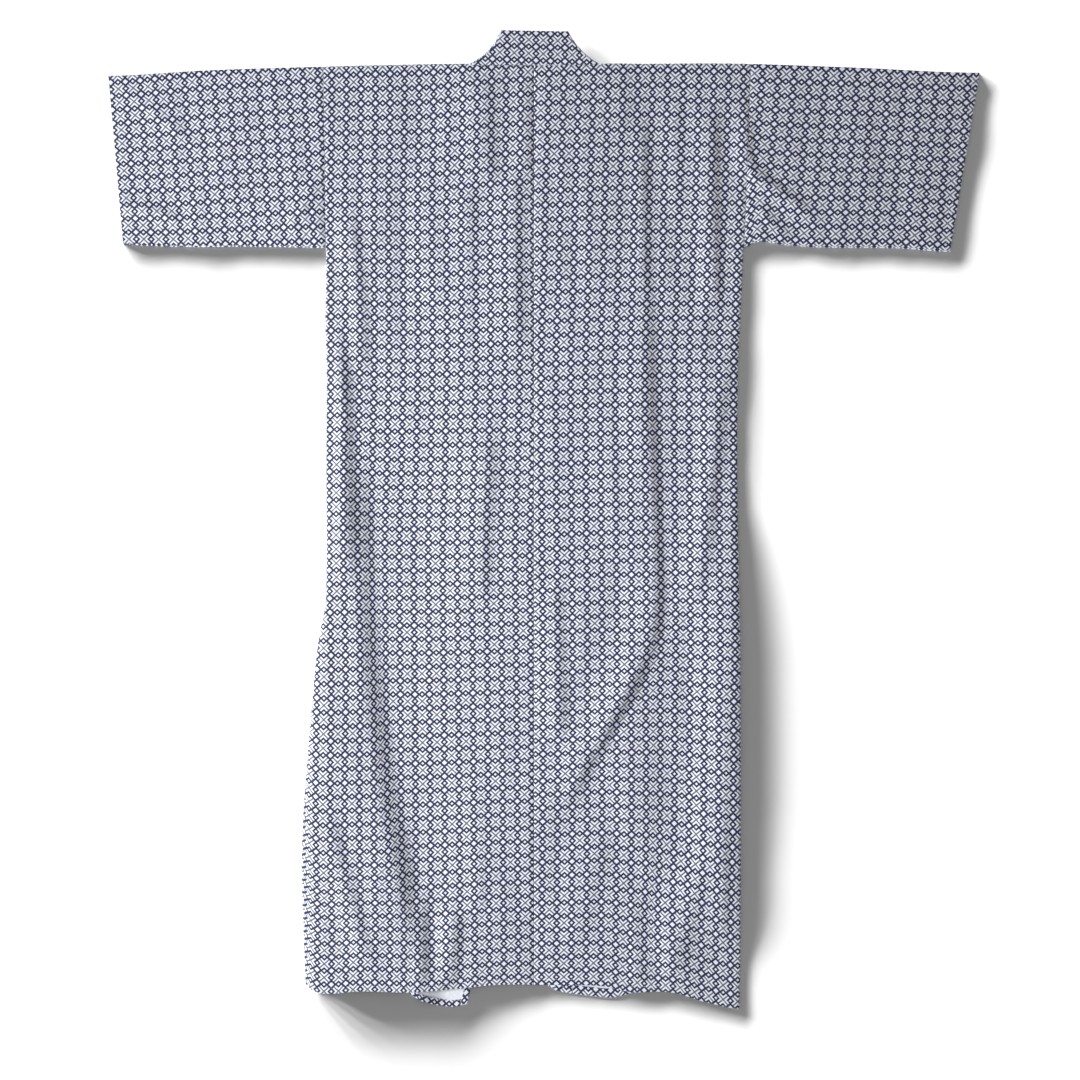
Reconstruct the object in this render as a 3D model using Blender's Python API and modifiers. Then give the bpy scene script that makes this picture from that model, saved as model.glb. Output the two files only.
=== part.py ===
"""Cotton yukata robe, laid out flat on its fronts with its back facing up.

Seven cloth pieces, each a thin wall: two body panels, each one length from the back hem over the
shoulder to the front hem, two front overlaps, two sleeves and the collar band.
+X runs towards the wearer's right sleeve, +Y towards the collar and +Z up, away from the surface.
Tables and sizes are in millimetres, and "down" is the distance below the shoulder datum.
"""

from collections import namedtuple

import bmesh
import bpy
import numpy as np

MM = 0.001

# Cloth and seams
WALL = 1.2
COLLAR_WALL = 2.0
SEAM_GAP = 0.3
LAYER_STEP = 2.8

# The places that the cut is hung from
SHOULDER_Y = 681.0
BACK_SEAM_X = -15.0
NECK_LEFT_X = -112.5
NECK_RIGHT_X = 86.0
UNDERARM_DOWN = 279.0

# The fronts: an overlap strip of this width ends at the free edge
OVERLAP_WIDTH = 145.0
OVERLAP_COLUMNS = 4
OVERLAP_END_COLUMNS = 2
FREE_EDGE_REACH = 87.0
COLLAR_WIDTH = 52.0
COLLAR_SLOPE = 0.149
COLLAR_BEND = 6.0e-5
COLLAR_END_DOWN = 690.0
COLLAR_END_GAP = 1.5
COVER_RAMP = 42.0

# The collar's folds beside the neck, where the band turns under to the fronts
COLLAR_TURN_DOWN = 50
COLLAR_NECK_COLUMNS = 2
COLLAR_TURN_COLUMNS = 4
COLLAR_BACK_COLUMNS = 8
COLLAR_BACK_LEVEL = 6.7
CollarFold = namedtuple("CollarFold", "seam_x free_x free_rise")
COLLAR_FOLDS = {-1: CollarFold(-105.5, -65.5, 52), 1: CollarFold(80.5, 34.5, 49.5)}

# Rows of each panel, from the shoulder to the underarm and from there to the hem
ARMHOLE_ROWS = (3, 20, 50, 90, 135, 180, 230, 262, UNDERARM_DOWN)
BODY_ROWS = (300, 345, 400, 460, 530, 600, 670, 690, 730, 790, 850, 910, 970, 1030, 1090, 1150,
             1210, 1265, 1315, 1355, 1384)
NECK_COLUMNS = 5
ARMHOLE_BORDER = 9.0
ROUND_COLUMNS = 3
SHOULDER_ROWS = 4
FRONT_COLUMNS = {-1: (4, 3, 3, 3, 5), 1: (3, 3, 2, 3, 2)}

# The hidden tuck in the left front, which lifts the back panel over it
TUCK_STARTS_DOWN = 540.0
TUCK_CLOSED_DOWN = 790.0
TUCK_RAMP = 52.0

Shoulder = namedtuple("Shoulder", "x down")
SHOULDER_LINE = (
    Shoulder(-653, 16.5),
    Shoulder(-516, 9),
    Shoulder(-420, 5.5),
    Shoulder(-331, 3),
    Shoulder(-230, 0.3),
    Shoulder(-107, 0),
    Shoulder(83, -0.8),
    Shoulder(235, -2),
    Shoulder(311, -1.2),
    Shoulder(470, 4.5),
    Shoulder(653, 12),
)

Hem = namedtuple("Hem", "x down")
BACK_HEM = (
    Hem(-363, 1366),
    Hem(-356, 1380),
    Hem(-346, 1389),
    Hem(-325, 1393.5),
    Hem(-276, 1390),
    Hem(-200, 1391.5),
    Hem(-135, 1387),
    Hem(-69, 1381),
    Hem(8, 1381),
    Hem(90, 1383),
    Hem(132, 1392),
    Hem(175, 1391),
    Hem(200, 1394),
    Hem(243, 1407),
    Hem(295, 1416.5),
)
LEFT_FRONT_HEM = (
    Hem(-330, 1384),
    Hem(-230, 1385),
    Hem(-204, 1392),
    Hem(-180, 1406),
    Hem(-138, 1414),
    Hem(-112, 1410),
)
RIGHT_FRONT_HEM = (
    Hem(-106, 1377),
    Hem(0, 1379),
    Hem(20, 1390),
    Hem(64, 1397),
    Hem(104, 1400),
    Hem(130, 1394),
    Hem(180, 1384),
    Hem(295, 1386),
)

Side = namedtuple("Side", "down left_x right_x left_round right_round")
SIDE_LINES = (
    Side(279, -326, 298, 6, 6),
    Side(384, -327.5, 294, 6, 6),
    Side(450, -326, 291, 7, 7),
    Side(600, -326, 289.5, 8, 8),
    Side(800, -327, 292.5, 12, 11),
    Side(864, -338, 294, 20, 13),
    Side(960, -347.5, 294.5, 28, 15),
    Side(1100, -358.5, 294.5, 33, 16),
    Side(1220, -363, 294.5, 34, 16),
    Side(1320, -360, 294, 32, 14),
    Side(1395, -357, 292.5, 28, 12),
)

SLEEVE_STATIONS = 9
SLEEVE_ROWS = 8
SLEEVE_TURN_ROWS = 4
Sleeve = namedtuple("Sleeve", "name side armhole_top_x armhole_low_x cuff_top_x cuff_low_x lower_edge")
SLEEVES = (
    Sleeve(
        "Sleeve_left", -1, -331, -327.5, -653, -631,
        ((-631, 272.5), (-558, 275.5), (-440, 275.5), (-327.5, 277)),
    ),
    Sleeve(
        "Sleeve_right", 1, 310.5, 300.5, 653, 609,
        ((300.5, 277), (316, 269.5), (331, 268), (354, 272), (399, 276), (534, 278), (609, 283)),
    ),
)

TuckRow = namedtuple("TuckRow", "down fold_x bend doubled")
TUCK = (
    TuckRow(300, -300, 3.6, 2),
    TuckRow(444, -300, 3.6, 2),
    TuckRow(744, -292, 5, 2),
    TuckRow(879, -284, 6, 14),
    TuckRow(1000, -272, 7, 32),
    TuckRow(1104, -256, 7, 47),
    TuckRow(1224, -230, 7, 64),
    TuckRow(1300, -210, 6.5, 74.5),
    TuckRow(1400, -193, 6, 88),
)

# The largest creases of the back: a crest along its route, its height, and how far each side falls
Crease = namedtuple("Crease", "route height fall_left fall_right")
CREASES = (
    Crease(((-92, 10), (-88, 90), (-86, 190)), 2.4, 46, 20),
    Crease(((-46, 150), (-44, 290), (-42, 430)), 2.6, 46, 18),
    Crease(
        ((148, 100), (150, 330), (152, 520), (160, 700), (163, 800), (150, 880), (110, 960),
         (60, 1050), (0, 1150)),
        5.2, 66, 24,
    ),
    Crease(((252, 110), (252, 240), (256, 380)), 3.4, 34, 20),
    Crease(((274, 400), (256, 560), (236, 720), (222, 820)), 3.0, 34, 22),
    Crease(((-296, 220), (-286, 300), (-278, 380), (-274, 470)), 3.0, 30, 22),
    Crease(((-314, 380), (-302, 520), (-300, 640), (-298, 790)), 4.2, 26, 26),
    Crease(((-88, 560), (-92, 680), (-98, 820)), 2.8, 52, 22),
    Crease(((14, 770), (18, 900), (22, 1020)), 2.6, 40, 18),
    Crease(((276, 640), (274, 900), (268, 1150), (262, 1330)), 6.0, 70, 40),
    Crease(((-330, 1120), (-300, 1230), (-262, 1360)), 2.6, 34, 22),
    Crease(((-140, 1270), (-150, 1340), (-160, 1420)), 3.2, 26, 20),
    Crease(((306, 110), (318, 150), (352, 178), (420, 226)), 3.0, 26, 16),
    Crease(((-640, 214), (-590, 220), (-545, 236)), 2.4, 18, 14),
)

CLOTH_COLOUR = (0.62, 0.64, 0.74, 1.0)
CLOTH_ROUGHNESS = 0.85


def smooth(position, stations, values):
    """A soft curve through a short table, level at both of its ends."""
    stations = np.asarray(stations, float)
    values = np.asarray(values, float)
    slopes = np.zeros(len(values))
    slopes[1:-1] = (values[2:] - values[:-2]) / (stations[2:] - stations[:-2])
    held = np.clip(position, stations[0], stations[-1])
    low = np.clip(np.searchsorted(stations, held, side="right") - 1, 0, len(stations) - 2)
    span = stations[low + 1] - stations[low]
    part = (held - stations[low]) / span
    rise = part * part * (3 - 2 * part)
    leave = part * (1 - part) ** 2 * span
    arrive = part * part * (part - 1) * span
    return values[low] * (1 - rise) + values[low + 1] * rise + slopes[low] * leave + slopes[low + 1] * arrive


def ease(amount):
    """0 below 0, 1 above 1, and a soft rise between."""
    part = np.clip(amount, 0, 1)
    return part * part * (3 - 2 * part)


def column(rows, name):
    return [getattr(row, name) for row in rows]


def shoulder_down(x):
    return smooth(x, column(SHOULDER_LINE, "x"), column(SHOULDER_LINE, "down"))


def hem_down(x, hem):
    return smooth(x, column(hem, "x"), column(hem, "down"))


def side_at(down, name):
    return smooth(down, column(SIDE_LINES, "down"), column(SIDE_LINES, name))


def tuck_at(down, name):
    return smooth(down, column(TUCK, "down"), column(TUCK, name))


def crease_height(x, down, creases):
    """The height that the creases add at a point: each falls from its crest to either side."""
    total = np.zeros(np.broadcast(x, down).shape)
    for crease in creases:
        marks = np.arange(len(crease.route), dtype=float)
        fine = np.linspace(0, marks[-1], 6 * len(marks))
        line_x = smooth(fine, marks, [point[0] for point in crease.route])
        line_down = smooth(fine, marks, [point[1] for point in crease.route])
        best = np.full(total.shape, np.inf)
        added = np.zeros(total.shape)
        for index in range(len(fine) - 1):
            along_x = line_x[index + 1] - line_x[index]
            along_down = line_down[index + 1] - line_down[index]
            length = np.hypot(along_x, along_down)
            part = ((x - line_x[index]) * along_x + (down - line_down[index]) * along_down) / length**2
            held = np.clip(part, 0, 1)
            off_x = x - line_x[index] - held * along_x
            off_down = down - line_down[index] - held * along_down
            distance = np.hypot(off_x, off_down)
            side = np.sign(off_x * along_down - off_down * along_x)
            fall = np.where(side > 0, crease.fall_right, crease.fall_left)
            way = (index + held) / (len(fine) - 1)
            taper = ease(way / 0.25) * ease((1 - way) / 0.25)
            height = crease.height * taper * (1 - ease(distance / fall))
            nearer = distance < best
            added = np.where(nearer, height, added)
            best = np.where(nearer, distance, best)
        total = total + added
    return total


def collar_seam_x(down, side):
    """Where the collar joins the front, for the left front at side -1 and the right at 1."""
    start = NECK_LEFT_X if side < 0 else NECK_RIGHT_X
    return start - side * (COLLAR_SLOPE * down + COLLAR_BEND * down * down)


def tuck_bend(down):
    """How far the tuck's cloth turns back on itself, from 0 to half a turn."""
    return np.pi * ease((down - TUCK_STARTS_DOWN) / (TUCK_CLOSED_DOWN - TUCK_STARTS_DOWN))


def tuck_rise(down):
    turn = np.maximum(tuck_bend(down), 1e-3)
    radius = tuck_at(down, "bend") / turn
    return 2 * radius * (1 - np.cos(turn)) + tuck_at(down, "doubled") * np.sin(turn)


def tuck_swell(x, down):
    """The lift of the cloth above the tuck, level over it and falling to its right."""
    turn = np.maximum(tuck_bend(down), 1e-3)
    edge = tuck_at(down, "fold_x") + tuck_at(down, "bend") / turn * np.sin(turn / 2)
    return tuck_rise(down) * (1 - ease((x - edge) / TUCK_RAMP))


def free_edge_x(down, side):
    """The free edge of a front. The tuck draws the left one back towards its side."""
    if side > 0:
        return BACK_SEAM_X - FREE_EDGE_REACH + np.zeros(np.shape(down))
    turn = np.maximum(tuck_bend(down), 1e-3)
    bend = tuck_at(down, "bend")
    doubled = tuck_at(down, "doubled")
    taken = 2 * bend + doubled - 2 * bend / turn * np.sin(turn) - doubled * np.cos(turn)
    return BACK_SEAM_X + FREE_EDGE_REACH - taken


def level_right(x, down):
    """Mid height of the right front, which lies over the left one and drops past its edge."""
    return WALL / 2 + LAYER_STEP * (1 - ease((x - free_edge_x(down, -1) - 4) / COVER_RAMP))


def level_back(x, down):
    """Mid height of the back before its creases."""
    over_left = 1 - ease((x - free_edge_x(down, -1) - 4) / COVER_RAMP)
    over_right = 1 - ease((free_edge_x(down, 1) - 4 - x) / COVER_RAMP)
    return WALL / 2 + LAYER_STEP * (1 + over_left * over_right) + tuck_swell(x, down)


def back_height(x, down):
    fade = ease((down - 4) / 40)
    return level_back(x, down) + crease_height(x, down, CREASES) * fade


def make_object(name, mesh, wall, collection):
    """Gives a cloth sheet its wall and its own material."""
    obj = bpy.data.objects.new(name, mesh)
    collection.objects.link(obj)
    solidify = obj.modifiers.new("Cloth wall", "SOLIDIFY")
    solidify.thickness = wall * MM
    solidify.offset = 0
    solidify.use_even_offset = False
    solidify.use_rim = True
    material = bpy.data.materials.new(name + "_cotton")
    material.use_nodes = True
    shader = material.node_tree.nodes["Principled BSDF"]
    shader.inputs["Base Color"].default_value = CLOTH_COLOUR
    shader.inputs["Roughness"].default_value = CLOTH_ROUGHNESS
    shader.inputs["Metallic"].default_value = 0.0
    mesh.materials.append(material)
    mesh.shade_smooth()
    mesh.set_sharp_from_angle(angle=np.radians(50))
    return obj


def cloth(name, places, collection, keep=None, wall=WALL):
    """A sheet from a grid: places gives each crossing's x, y and z, and keep the cells it has."""
    across, along = places.shape[0] - 1, places.shape[1] - 1
    sheet = bmesh.new()
    bmesh.ops.create_grid(sheet, x_segments=across, y_segments=along, size=1)
    cells = {}
    for vertex in sheet.verts:
        column_at = round((vertex.co.x + 1) / 2 * across)
        row_at = round((vertex.co.y + 1) / 2 * along)
        cells[vertex] = (column_at, row_at)
    if keep is not None:
        dropped = []
        for face in sheet.faces:
            column_at = min(cells[vertex][0] for vertex in face.verts)
            row_at = min(cells[vertex][1] for vertex in face.verts)
            if not keep[column_at, row_at]:
                dropped.append(face)
        bmesh.ops.delete(sheet, geom=dropped, context="FACES")
    for vertex in sheet.verts:
        vertex.co = places[cells[vertex]] * MM
    bmesh.ops.remove_doubles(sheet, verts=sheet.verts, dist=1e-5)
    bmesh.ops.recalc_face_normals(sheet, faces=sheet.faces)
    mesh = bpy.data.meshes.new(name)
    sheet.to_mesh(mesh)
    sheet.free()
    return make_object(name, mesh, wall, collection)


def spread(start, end, count):
    """Evenly spaced positions along each row, as a table of columns by rows."""
    steps = np.linspace(0, 1, count + 1)[:, None]
    return start + (end - start) * steps


def tucked_path(down, start_x, end_x, counts):
    """Columns across a front that doubles back on itself: x and rise of each, by row."""
    turn = np.maximum(tuck_bend(down), 1e-3)
    bend = tuck_at(down, "bend")
    doubled = tuck_at(down, "doubled")
    radius = bend / turn
    fold_x = tuck_at(down, "fold_x")
    under_x = spread(start_x, fold_x, counts[0])
    first = turn * np.linspace(0, 1, counts[1] + 1)[1:, None]
    turn_x = fold_x + radius * np.sin(first)
    turn_rise = radius * (1 - np.cos(first))
    back = doubled * np.linspace(0, 1, counts[2] + 1)[1:, None]
    back_x = turn_x[-1] + back * np.cos(turn)
    back_rise = turn_rise[-1] + back * np.sin(turn)
    second = turn * np.linspace(1, 0, counts[3] + 1)[1:, None]
    over_x = back_x[-1] + radius * (np.sin(turn) - np.sin(second))
    over_rise = back_rise[-1] + radius * (np.cos(second) - np.cos(turn))
    last_x = spread(over_x[-1], end_x, counts[4])[1:]
    xs = np.concatenate([under_x, turn_x, back_x, over_x, last_x])
    rises = np.concatenate([np.zeros(under_x.shape), turn_rise, back_rise, over_rise,
                            tuck_swell(last_x, down)])
    return xs, rises


def body_panel(name, side, collection):
    """One length of cloth from the back hem over the shoulder to the front hem."""
    front_counts = FRONT_COLUMNS[side]
    flat_columns = sum(front_counts)
    columns = NECK_COLUMNS + flat_columns + ROUND_COLUMNS
    below = np.array(BODY_ROWS)
    arm_rows = np.array(ARMHOLE_ROWS)
    side_name = "left_x" if side < 0 else "right_x"
    round_name = "left_round" if side < 0 else "right_round"
    neck_x = NECK_LEFT_X if side < 0 else NECK_RIGHT_X
    hem_front = LEFT_FRONT_HEM if side < 0 else RIGHT_FRONT_HEM
    sleeve = SLEEVES[0 if side < 0 else 1]
    downs = np.concatenate([arm_rows, below])
    rows = len(downs)

    edge_x = side_at(downs, side_name)
    roundness = side_at(downs, round_name)
    armhole_x = sleeve.armhole_top_x + (sleeve.armhole_low_x - sleeve.armhole_top_x) * downs / UNDERARM_DOWN
    in_armhole = downs < UNDERARM_DOWN
    edge_x = np.where(in_armhole, armhole_x - side * SEAM_GAP, edge_x)
    roundness = np.where(in_armhole, ARMHOLE_BORDER, roundness)
    inner_x = edge_x - side * roundness
    seam_x = np.full(rows, BACK_SEAM_X + side * SEAM_GAP / 2)

    # Back: from the centre seam out to the side
    back_x = np.concatenate([
        spread(seam_x, np.full(rows, neck_x), NECK_COLUMNS),
        spread(np.full(rows, neck_x), inner_x, flat_columns)[1:],
    ])
    row_down = downs[None, :] + np.zeros(back_x.shape)
    back_down = row_downs(back_x, row_down, BACK_HEM)
    back_z = back_height(back_x, back_down)

    # Front: from the side in to the collar or the overlap seam
    front_x, front_z = front_columns(side, downs, inner_x, front_counts)
    front_row = downs[None, :] + np.zeros(front_x.shape)
    front_down = row_downs(front_x, front_row, hem_front)

    # Side: a soft round from the back to the front, met at its outermost line
    places = np.zeros((columns + 1, 2 * rows + SHOULDER_ROWS - 1, 3))
    top_z = back_z[-1]
    low_z = front_z[0]
    for step in range(1, ROUND_COLUMNS + 1):
        angle = np.pi / 2 * step / ROUND_COLUMNS
        over_x = inner_x + side * roundness * np.sin(angle)
        middle = (top_z + low_z) / 2
        lift = (top_z - low_z) / 2 * np.cos(angle)
        back_side_z = np.where(in_armhole, back_height(over_x, downs), middle + lift)
        front_side_z = np.where(in_armhole, low_z, middle - lift)
        side_down = row_downs(over_x, downs, BACK_HEM)
        at = NECK_COLUMNS + flat_columns + step
        places[at, :rows] = np.stack([over_x, SHOULDER_Y - side_down, back_side_z], -1)[::-1]
        places[at, rows + SHOULDER_ROWS - 1:] = np.stack([over_x, SHOULDER_Y - side_down, front_side_z], -1)
    body = NECK_COLUMNS + flat_columns + 1
    places[:body, :rows] = np.stack([back_x, SHOULDER_Y - back_down, back_z], -1)[:, ::-1]
    front_places = np.stack([front_x, SHOULDER_Y - front_down, front_z], -1)
    places[NECK_COLUMNS:body, rows + SHOULDER_ROWS - 1:] = front_places[::-1]
    shoulder_arc(places, rows, SHOULDER_ROWS)

    keep = np.ones((columns, places.shape[1] - 1), bool)
    keep[:NECK_COLUMNS, rows - 1:] = False
    return cloth(name, places, collection, keep)


def row_downs(x, row_down, hem):
    """Bends the straight rows so that the first follows the shoulder and the last the hem."""
    first, last = ARMHOLE_ROWS[0], BODY_ROWS[-1]
    part = (row_down - first) / (last - first)
    top = shoulder_down(x) + first
    low = hem_down(x, hem)
    return row_down + (top - first) * (1 - part) ** 3 + (low - last) * part**3


def front_columns(side, downs, inner_x, counts):
    """x and mid height of the front's columns, from the side inwards."""
    seam = collar_seam_x(downs, side)
    overlap = free_edge_x(downs, side) + side * OVERLAP_WIDTH
    end_x = np.minimum(seam, overlap) if side < 0 else np.maximum(seam, overlap)
    end_x = end_x + side * SEAM_GAP / 2
    if side < 0:
        xs, rises = tucked_path(downs, inner_x, end_x, counts)
        return xs, WALL / 2 + rises
    xs = spread(inner_x, end_x, sum(counts))
    return xs, level_right(xs, downs[None, :])


def shoulder_arc(places, rows, count):
    """Rounds the cloth over the shoulder, from the back's first row to the front's."""
    top = places[:, rows - 1].copy()
    low = places[:, rows - 1 + count].copy()
    for step in range(1, count):
        angle = np.pi * step / count
        places[:, rows - 1 + step, 0] = top[:, 0] + (low[:, 0] - top[:, 0]) * step / count
        reach = (top[:, 2] - low[:, 2]) / 2
        places[:, rows - 1 + step, 1] = (top[:, 1] + low[:, 1]) / 2 + reach * np.sin(angle)
        places[:, rows - 1 + step, 2] = (top[:, 2] + low[:, 2]) / 2 + reach * np.cos(angle)


def overlap(name, side, first_row, collection):
    """The strip sewn to a front: it starts in a point under the collar and ends at the hem."""
    downs = np.array([down for down in ARMHOLE_ROWS + BODY_ROWS if down >= first_row])
    hem = LEFT_FRONT_HEM if side < 0 else RIGHT_FRONT_HEM
    free_x = free_edge_x(downs, side)
    sewn_x = free_x + side * (OVERLAP_WIDTH - SEAM_GAP / 2)
    end_drift = np.where(downs > COLLAR_END_DOWN, free_x - free_edge_x(COLLAR_END_DOWN, side), 0)
    collar_x = collar_seam_x(np.minimum(downs, COLLAR_END_DOWN), side) + end_drift + side * SEAM_GAP / 2
    xs = np.concatenate([
        spread(sewn_x, collar_x, OVERLAP_COLUMNS),
        spread(collar_x, free_x, OVERLAP_END_COLUMNS)[1:],
    ])
    row_down = downs[None, :] + np.zeros(xs.shape)
    level = level_right(xs, row_down) if side > 0 else WALL / 2 + tuck_swell(xs, row_down)
    places = np.stack([xs, SHOULDER_Y - row_downs(xs, row_down, hem), level], -1)
    keep = np.ones((OVERLAP_COLUMNS + OVERLAP_END_COLUMNS, len(downs) - 1), bool)
    keep[OVERLAP_COLUMNS:, downs[:-1] < COLLAR_END_DOWN] = False
    return cloth(name, places, collection, keep)


def sleeve_tube(sleeve, collection):
    """A tube folded at the shoulder and sewn along its lower edge, open at armhole and cuff."""
    edge_xs, edge_downs = zip(*sleeve.lower_edge)
    part = np.linspace(0, 1, SLEEVE_STATIONS + 1)[:, None]
    fold = np.linspace(0, 1, SLEEVE_ROWS + 1)[None, :]
    armhole = sleeve.armhole_top_x + (sleeve.armhole_low_x - sleeve.armhole_top_x) * fold
    cuff = sleeve.cuff_top_x + (sleeve.cuff_low_x - sleeve.cuff_top_x) * fold
    xs = armhole + (cuff - armhole) * part
    top = shoulder_down(xs) + ARMHOLE_ROWS[0]
    low = smooth(xs, edge_xs, edge_downs) - ARMHOLE_ROWS[0]
    downs = top + (low - top) * fold
    upper_z = back_height(xs, downs)
    under_z = np.full(xs.shape, WALL / 2)
    upper = np.stack([xs, SHOULDER_Y - downs, upper_z], -1)
    under = np.stack([xs, SHOULDER_Y - downs, under_z], -1)
    ring = [upper, round_edge(upper[:, -1], under[:, -1], SLEEVE_TURN_ROWS, -1)]
    ring += [under[:, ::-1], round_edge(under[:, 0], upper[:, 0], SLEEVE_TURN_ROWS, 1), upper[:, :1]]
    return cloth(sleeve.name, np.concatenate(ring, axis=1), collection)


def round_edge(start, end, count, way):
    """The points of a soft round between two layers, bulging along Y by half their distance."""
    turns = []
    reach = np.abs(start[:, 2] - end[:, 2]) / 2
    for step in range(1, count):
        angle = np.pi * step / count
        point = start + (end - start) * (1 - np.cos(angle)) / 2
        point[:, 1] += way * reach * np.sin(angle)
        turns.append(point)
    return np.stack(turns, axis=1)


def collar_front(side):
    """Seam and free-edge points of a front stretch of the band, from its end to the neck."""
    downs = [down for down in ARMHOLE_ROWS + BODY_ROWS if COLLAR_TURN_DOWN <= down < COLLAR_END_DOWN]
    downs = np.array(downs + [COLLAR_END_DOWN - COLLAR_END_GAP])[::-1]
    seam_x = collar_seam_x(downs, side) - side * SEAM_GAP / 2
    lean = -side * (COLLAR_SLOPE + 2 * COLLAR_BEND * downs)
    length = np.hypot(1, lean)
    free_x = seam_x - side * COLLAR_WIDTH / length
    free_y = SHOULDER_Y - downs - side * lean * COLLAR_WIDTH / length
    seam = np.stack([seam_x, SHOULDER_Y - downs], -1)
    free = np.stack([free_x, free_y], -1)
    return seam, free


def collar_level(points, side):
    if side < 0:
        return np.full(len(points), COLLAR_WALL / 2)
    return level_right(points[:, 0], SHOULDER_Y - points[:, 1]) + (COLLAR_WALL - WALL) / 2


def neckline_y(x):
    return SHOULDER_Y - shoulder_down(x) - ARMHOLE_ROWS[0] + 2 * SEAM_GAP


def collar_half(side):
    """Seam and free-edge points of half of the band, from its end to past the fold at the neck."""
    fold = COLLAR_FOLDS[side]
    fold_seam = np.array([fold.seam_x, neckline_y(fold.seam_x)])
    fold_free = np.array([fold.free_x, SHOULDER_Y + fold.free_rise])
    along = (fold_free - fold_seam) / np.linalg.norm(fold_free - fold_seam)
    outward = np.array([along[1], -along[0]]) * side
    steps = np.linspace(0, 1, COLLAR_NECK_COLUMNS + 1)[1:, None]
    edges = []
    for edge, fold_end in zip(collar_front(side), (fold_seam, fold_free)):
        edge = np.concatenate([edge, edge[-1] + (fold_end - edge[-1]) * steps])
        flat = np.column_stack([edge, collar_level(edge, side)])
        radius = (COLLAR_BACK_LEVEL - flat[-1, 2]) / 2
        angles = np.pi * np.arange(1, COLLAR_TURN_COLUMNS + 1)[:, None] / COLLAR_TURN_COLUMNS
        turned = np.hstack([
            fold_end + outward * radius * np.sin(angles),
            flat[-1, 2] + radius * (1 - np.cos(angles)),
        ])
        edges.append(np.concatenate([flat, turned]))
    return edges


def collar(collection):
    """The band: up the left front, folded over at the neck, across the back and down the right."""
    left, right = collar_half(-1), collar_half(1)
    steps = np.linspace(0, 1, COLLAR_BACK_COLUMNS + 1)[1:-1, None]
    edges = []
    for left_edge, right_edge in zip(left, right):
        across = left_edge[-1] + (right_edge[-1] - left_edge[-1]) * steps
        edges.append(np.concatenate([left_edge, across, right_edge[::-1]]))
    seam, free = edges
    sewn = len(left[0])
    seam[sewn:-sewn, 1] = neckline_y(seam[sewn:-sewn, 0])
    places = np.stack([seam, (seam + free) / 2, free], axis=0)
    return cloth("Collar", places, collection, wall=COLLAR_WALL)


def main():
    for old in list(bpy.data.objects):
        bpy.data.objects.remove(old, do_unlink=True)
    robe = bpy.data.collections.new("Yukata robe")
    bpy.context.scene.collection.children.link(robe)
    body_panel("Body_left", -1, robe)
    body_panel("Body_right", 1, robe)
    overlap("Overlap_left", -1, 262, robe)
    overlap("Overlap_right", 1, UNDERARM_DOWN, robe)
    for sleeve in SLEEVES:
        sleeve_tube(sleeve, robe)
    collar(robe)


main()
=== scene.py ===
"""Cotton yukata robe, laid out flat on its fronts with its back facing up.

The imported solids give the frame. Each cloth piece here is a thin printed shell on its solid's form:
body panels, front overlaps, sleeves and collar, with hem turnings and rows of stitches on them.
+X runs towards the right-hand sleeve, +Y towards the collar and +Z up, away from the surface.
Tables and sizes are in millimetres, and "down" is the distance below the shoulder datum.
"""

from collections import namedtuple
from functools import partial

import bmesh
import bpy
import numpy as np
from bpy.props import FloatProperty, FloatVectorProperty, PointerProperty
from mathutils import Matrix, Vector


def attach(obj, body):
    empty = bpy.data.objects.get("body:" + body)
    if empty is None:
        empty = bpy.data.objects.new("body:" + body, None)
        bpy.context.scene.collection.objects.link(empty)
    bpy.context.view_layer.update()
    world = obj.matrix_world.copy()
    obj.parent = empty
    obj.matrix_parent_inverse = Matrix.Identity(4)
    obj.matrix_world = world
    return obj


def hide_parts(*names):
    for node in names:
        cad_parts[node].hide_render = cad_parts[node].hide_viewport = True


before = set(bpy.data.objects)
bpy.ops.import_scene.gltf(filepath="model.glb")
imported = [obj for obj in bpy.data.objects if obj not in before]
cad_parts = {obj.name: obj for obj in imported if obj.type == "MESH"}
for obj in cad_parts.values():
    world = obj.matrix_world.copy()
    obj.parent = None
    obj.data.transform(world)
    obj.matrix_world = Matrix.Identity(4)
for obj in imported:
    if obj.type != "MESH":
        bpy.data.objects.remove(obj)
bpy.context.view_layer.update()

bl_info = {
    "name": "Cotton Yukata Robe",
    "version": (1, 0, 0),
    "blender": (4, 5, 0),
    "location": "View3D > Sidebar > Yukata",
    "description": "Builds a printed cotton yukata robe laid out flat, with its studio stage",
    "category": "Add Mesh",
}

MM = 0.001

# Cloth and seams
CLOTH = 0.8
COLLAR_CLOTH = 0.6
SEAM_GAP = 0.3
LAYER_STEP = 2.8
SEAM_DIP = 0.55
SEAM_DIP_WIDTH = 3.0
HEM_TURNING = 10.0
FRONT_HEM_TURNINGS = {-1: 10.0, 1: 13.5}
CUFF_TURNING = 12.0
TURNING_LIFT = 0.75
HEM_FROM_SEAM = 2.0
HEM_FROM_FOLD = 4.0

# The places that the cut is hung from
SHOULDER_Y = 681.0
BACK_SEAM_X = -15.0
NECK_X = {-1: -112.5, 1: 86.0}
UNDERARM_DOWN = 279.0
FIRST_DOWN = 3.0
LAST_DOWN = 1384.0

# The fronts: an overlap strip of this width ends at the free edge
OVERLAP_WIDTH = 145.0
FREE_EDGE_REACH = 87.0
COLLAR_WIDTH = 52.0
COLLAR_SLOPE = 0.149
COLLAR_BEND = 6.0e-5
COLLAR_END_DOWN = 690.0
OVERLAP_TOP_DOWNS = {-1: 268.0, 1: 279.0}
COLLAR_END_GAP = 1.5
COVER_START = 4.0
COVER_RAMP = 42.0
BACK_RAMP = 90.0

# Creases fade out towards the shoulder and the hem, and the armhole's trough below the underarm
SHOULDER_FADE = 40.0
HEM_FADE = 90.0
SEAM_FADE = 8.0

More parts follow.
